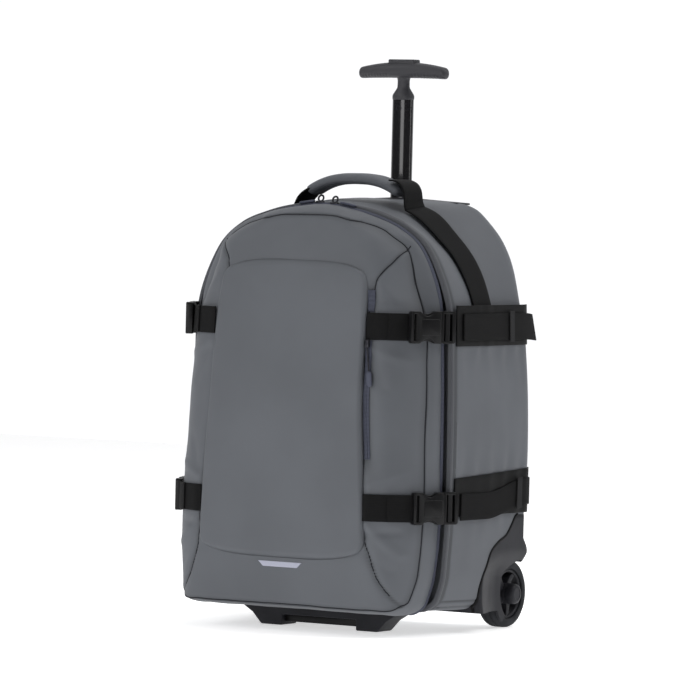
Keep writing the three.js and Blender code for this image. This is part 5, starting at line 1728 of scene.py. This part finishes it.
# The plate follows the round top of the bag
plate_droop, plate_half, plate_share = 4.5 * mm, 92 * mm, 0.965
back_plate = copy_of("top_plate", "back_plate", 0.8 * mm, charcoal)
for vert in back_plate.data.vertices:
    vert.co.z -= plate_droop * (abs(vert.co.x) / plate_half) ** 3
    vert.co.x *= plate_share
guide_tube = bpy.data.objects["guide_tube"].data
guide_tube.materials.clear()
guide_tube.materials.append(anodised)


# Foot: a moulded block under the front, with two pads and a glossy bar in the recess between them
copy_of("foot", "front_foot", 2.2 * mm, charcoal, segments=4)
inlay = copy_of("foot_bar", "foot_inlay", 0.8 * mm, buckle_plastic)
inlay_low, inlay_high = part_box("foot_bar")
inlay_drop = 4.5 * mm
for vert in inlay.data.vertices:
    if vert.co.z < (inlay_low.z + inlay_high.z) / 2:
        vert.co.z -= inlay_drop


# Zip sliders: cast sliders on the main zip, each with a wire ring and a moulded slate tab
def zip_top(across):
    fine = np.linspace(0.3, 0.5, 400)
    ring = outline_curves["zip"](fine)
    return float(np.interp(-abs(across), -ring[:, 0], ring[:, 1]))


steel = Finish("black_metal", Roughness=0.3, Metallic=0.85)
steel_grain = steel.noise(900.0, 2.0, steel.coordinates())
steel_colour = steel.mix(steel_grain, (0.02, 0.02, 0.024, 1), (0.045, 0.045, 0.052, 1))
dark_metal = steel.feed(Base_Color=steel_colour, Roughness=0.25 + steel_grain * 0.15)
slate_rubber = make_cloth("slate_tab", slate_tone)


slider_length, slider_width, slider_height, slider_taper = 10.5 * mm, 5 * mm, 3.4 * mm, 0.72
ring_radius, ring_wire = 3.4 * mm, 1.15 * mm


def make_slider(side):
    low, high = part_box(named("zip_slider", side))
    middle = (low + high) / 2
    form = bmesh.new()
    bmesh.ops.create_cube(form, size=1)
    for vert in form.verts:
        taper = 1 if vert.co.x < 0 else slider_taper
        size = Vector((slider_length, slider_width * taper, slider_height))
        vert.co = vert.co * size + middle
        vert.co.z += 0.6 * mm
    body = bevelled("slider", form, 1.0 * mm, dark_metal)
    ring_centre = middle + Vector((1 * mm, 0, 5.2 * mm))
    ring = []
    for turn in np.linspace(0, 2 * math.pi, 33):
        across, up = math.cos(turn) * ring_radius, math.sin(turn) * ring_radius
        ring.append(ring_centre + Vector((across, math.sin(turn) * 1.2 * mm, up)))
    loop = piece_of("loop", tube_along(ring, ring_wire), dark_metal)
    slider = join_pieces(named("slider", side), [body, loop])
    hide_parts(named("zip_slider", side))
    low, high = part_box(named("zip_pull", side))
    middle_depth = (low.y + high.y) / 2
    stations = []
    for share in np.linspace(0, 1, 16):
        across = low.x + share * (high.x - low.x)
        end = min(share, 1 - share) / 0.12
        size = math.sqrt(1 - (1 - min(1, end)) ** 2) * 0.9 + 0.1
        lift = zip_top(across) + 4.2 * mm
        middle = Vector((across, middle_depth, lift))
        stations.append((middle, Vector((0, 2.6 * size * mm, 0)), Vector((0, 0, 1.5 * size * mm))))
    form = swept(stations, 20, 3.2)
    form.verts.layers.float.new("seam")
    tab = piece_of(named("slider_tab", side), form, slate_rubber, smooth=60)
    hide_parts(named("zip_pull", side))


for side in (-1, 1):
    make_slider(side)


pocket_slider_height = 337 * mm
pull_lift = 4.2 * mm


def make_pocket_slider():
    """The slider of the pocket zip, with a cord and a slate tab that hang from it"""
    up = pocket_slider_height
    across = panel_half(up) + 4 * mm
    depth = face_at(across, up) - 4.6 * mm
    form = bmesh.new()
    bmesh.ops.create_cube(form, size=1)
    for vert in form.verts:
        vert.co = Vector((across + vert.co.x * 5 * mm, depth + vert.co.y * 3.5 * mm, up + vert.co.z * 9 * mm))
    body = bevelled("pocket_body", form, 0.9 * mm, dark_metal)
    ends = [(across, up - 3 * mm), (across + 1 * mm, up - 16 * mm), (across + 4 * mm, up - 32 * mm)]
    line = []
    for place in along_line(np.array(ends), 1.5 * mm):
        line.append((place[0], face_at(place[0], place[1]) - pull_lift, place[1]))
    cord = piece_of("pocket_cord", tube_along(line, 1.0 * mm), dark_metal)
    slider = join_pieces("pocket_slider", [body, cord])
    stations = []
    top = Vector(line[-1])
    for share in np.linspace(0, 1, 12):
        end = min(share, 1 - share) / 0.15
        size = math.sqrt(1 - (1 - min(1, end)) ** 2) * 0.85 + 0.15
        point = top + Vector((2.5 * share * mm, 0, -18 * share * mm))
        point.y = face_at(point.x, point.z) - pull_lift
        stations.append((point, Vector((3.2 * size * mm, 0, 0)), Vector((0, 1.6 * size * mm, 0))))
    form = swept(stations, 20, 3.2)
    form.verts.layers.float.new("seam")
    tab = piece_of("pocket_tab", form, slate_rubber, smooth=60)


make_pocket_slider()


# Shoulder straps: padded cloth bands flat against the back panel, each with an anchor webbing below
# Shares of the half width and of the height, from the top of a strap to its foot
shoulder_rows = np.array([(0.226, 0.928), (0.333, 0.852), (0.462, 0.725), (0.548, 0.597), (0.581, 0.496)])
_, rear_half, rear_bottom, rear_top = station_sizes["rear"]
shoulder_across = shoulder_rows[:, 0] * rear_half
shoulder_up = rear_bottom + shoulder_rows[:, 1] * (rear_top - rear_bottom)
shoulder_line = curve_through([0, 1, 2, 3, 4], np.column_stack([shoulder_across, shoulder_up]))
pad_half, pad_thickness = 28.5 * mm, 5.6 * mm
anchor_top, anchor_foot = (114.5 * mm, 250 * mm), (152 * mm, 196 * mm)
anchor_half = 12.5 * mm


def make_shoulder(side):
    stations = []
    for share in np.linspace(0, 4, 70):
        across, up = shoulder_line(share)[0]
        end = min(1, min(share, 4 - share) / 0.22)
        size = 0.86 + 0.14 * math.sqrt(1 - (1 - end) ** 2)
        flat = 0.72 + 0.28 * math.sqrt(1 - (1 - end) ** 2)
        thick = pad_thickness * flat * (1 + 0.05 * folds((across * side, 0, up), 30 * mm, 41))
        stations.append((
            Vector((side * across, back_plane + 0.8 * mm + pad_thickness * flat, up)),
            Vector((side * pad_half * size, 0, -6 * mm * size)),
            Vector((0, thick, 0)),
        ))
    form = swept(stations, 48, 4.2)
    form.verts.layers.float.new("seam")
    strap = piece_of(named("shoulder_pad", side), form, cloth, smooth=60)
    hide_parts(named("shoulder_strap", side))
    level = back_plane + 0.3 * mm
    start, end = (Vector((side * across, level, up)) for across, up in (anchor_top, anchor_foot))
    along = (end - start).normalized()
    across = Vector((-along.z, 0, along.x)) * anchor_half
    stations = []
    for share in np.linspace(0, 1, 12):
        point = start.lerp(end, share)
        stations.append((point - across, point + across, Vector((0, 1, 0))))
    anchor = ribbon(named("anchor_strap", side), stations, 1.6 * mm, webbing)
    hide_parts(named("strap_anchor", side))


for side in (1, -1):
    make_shoulder(side)
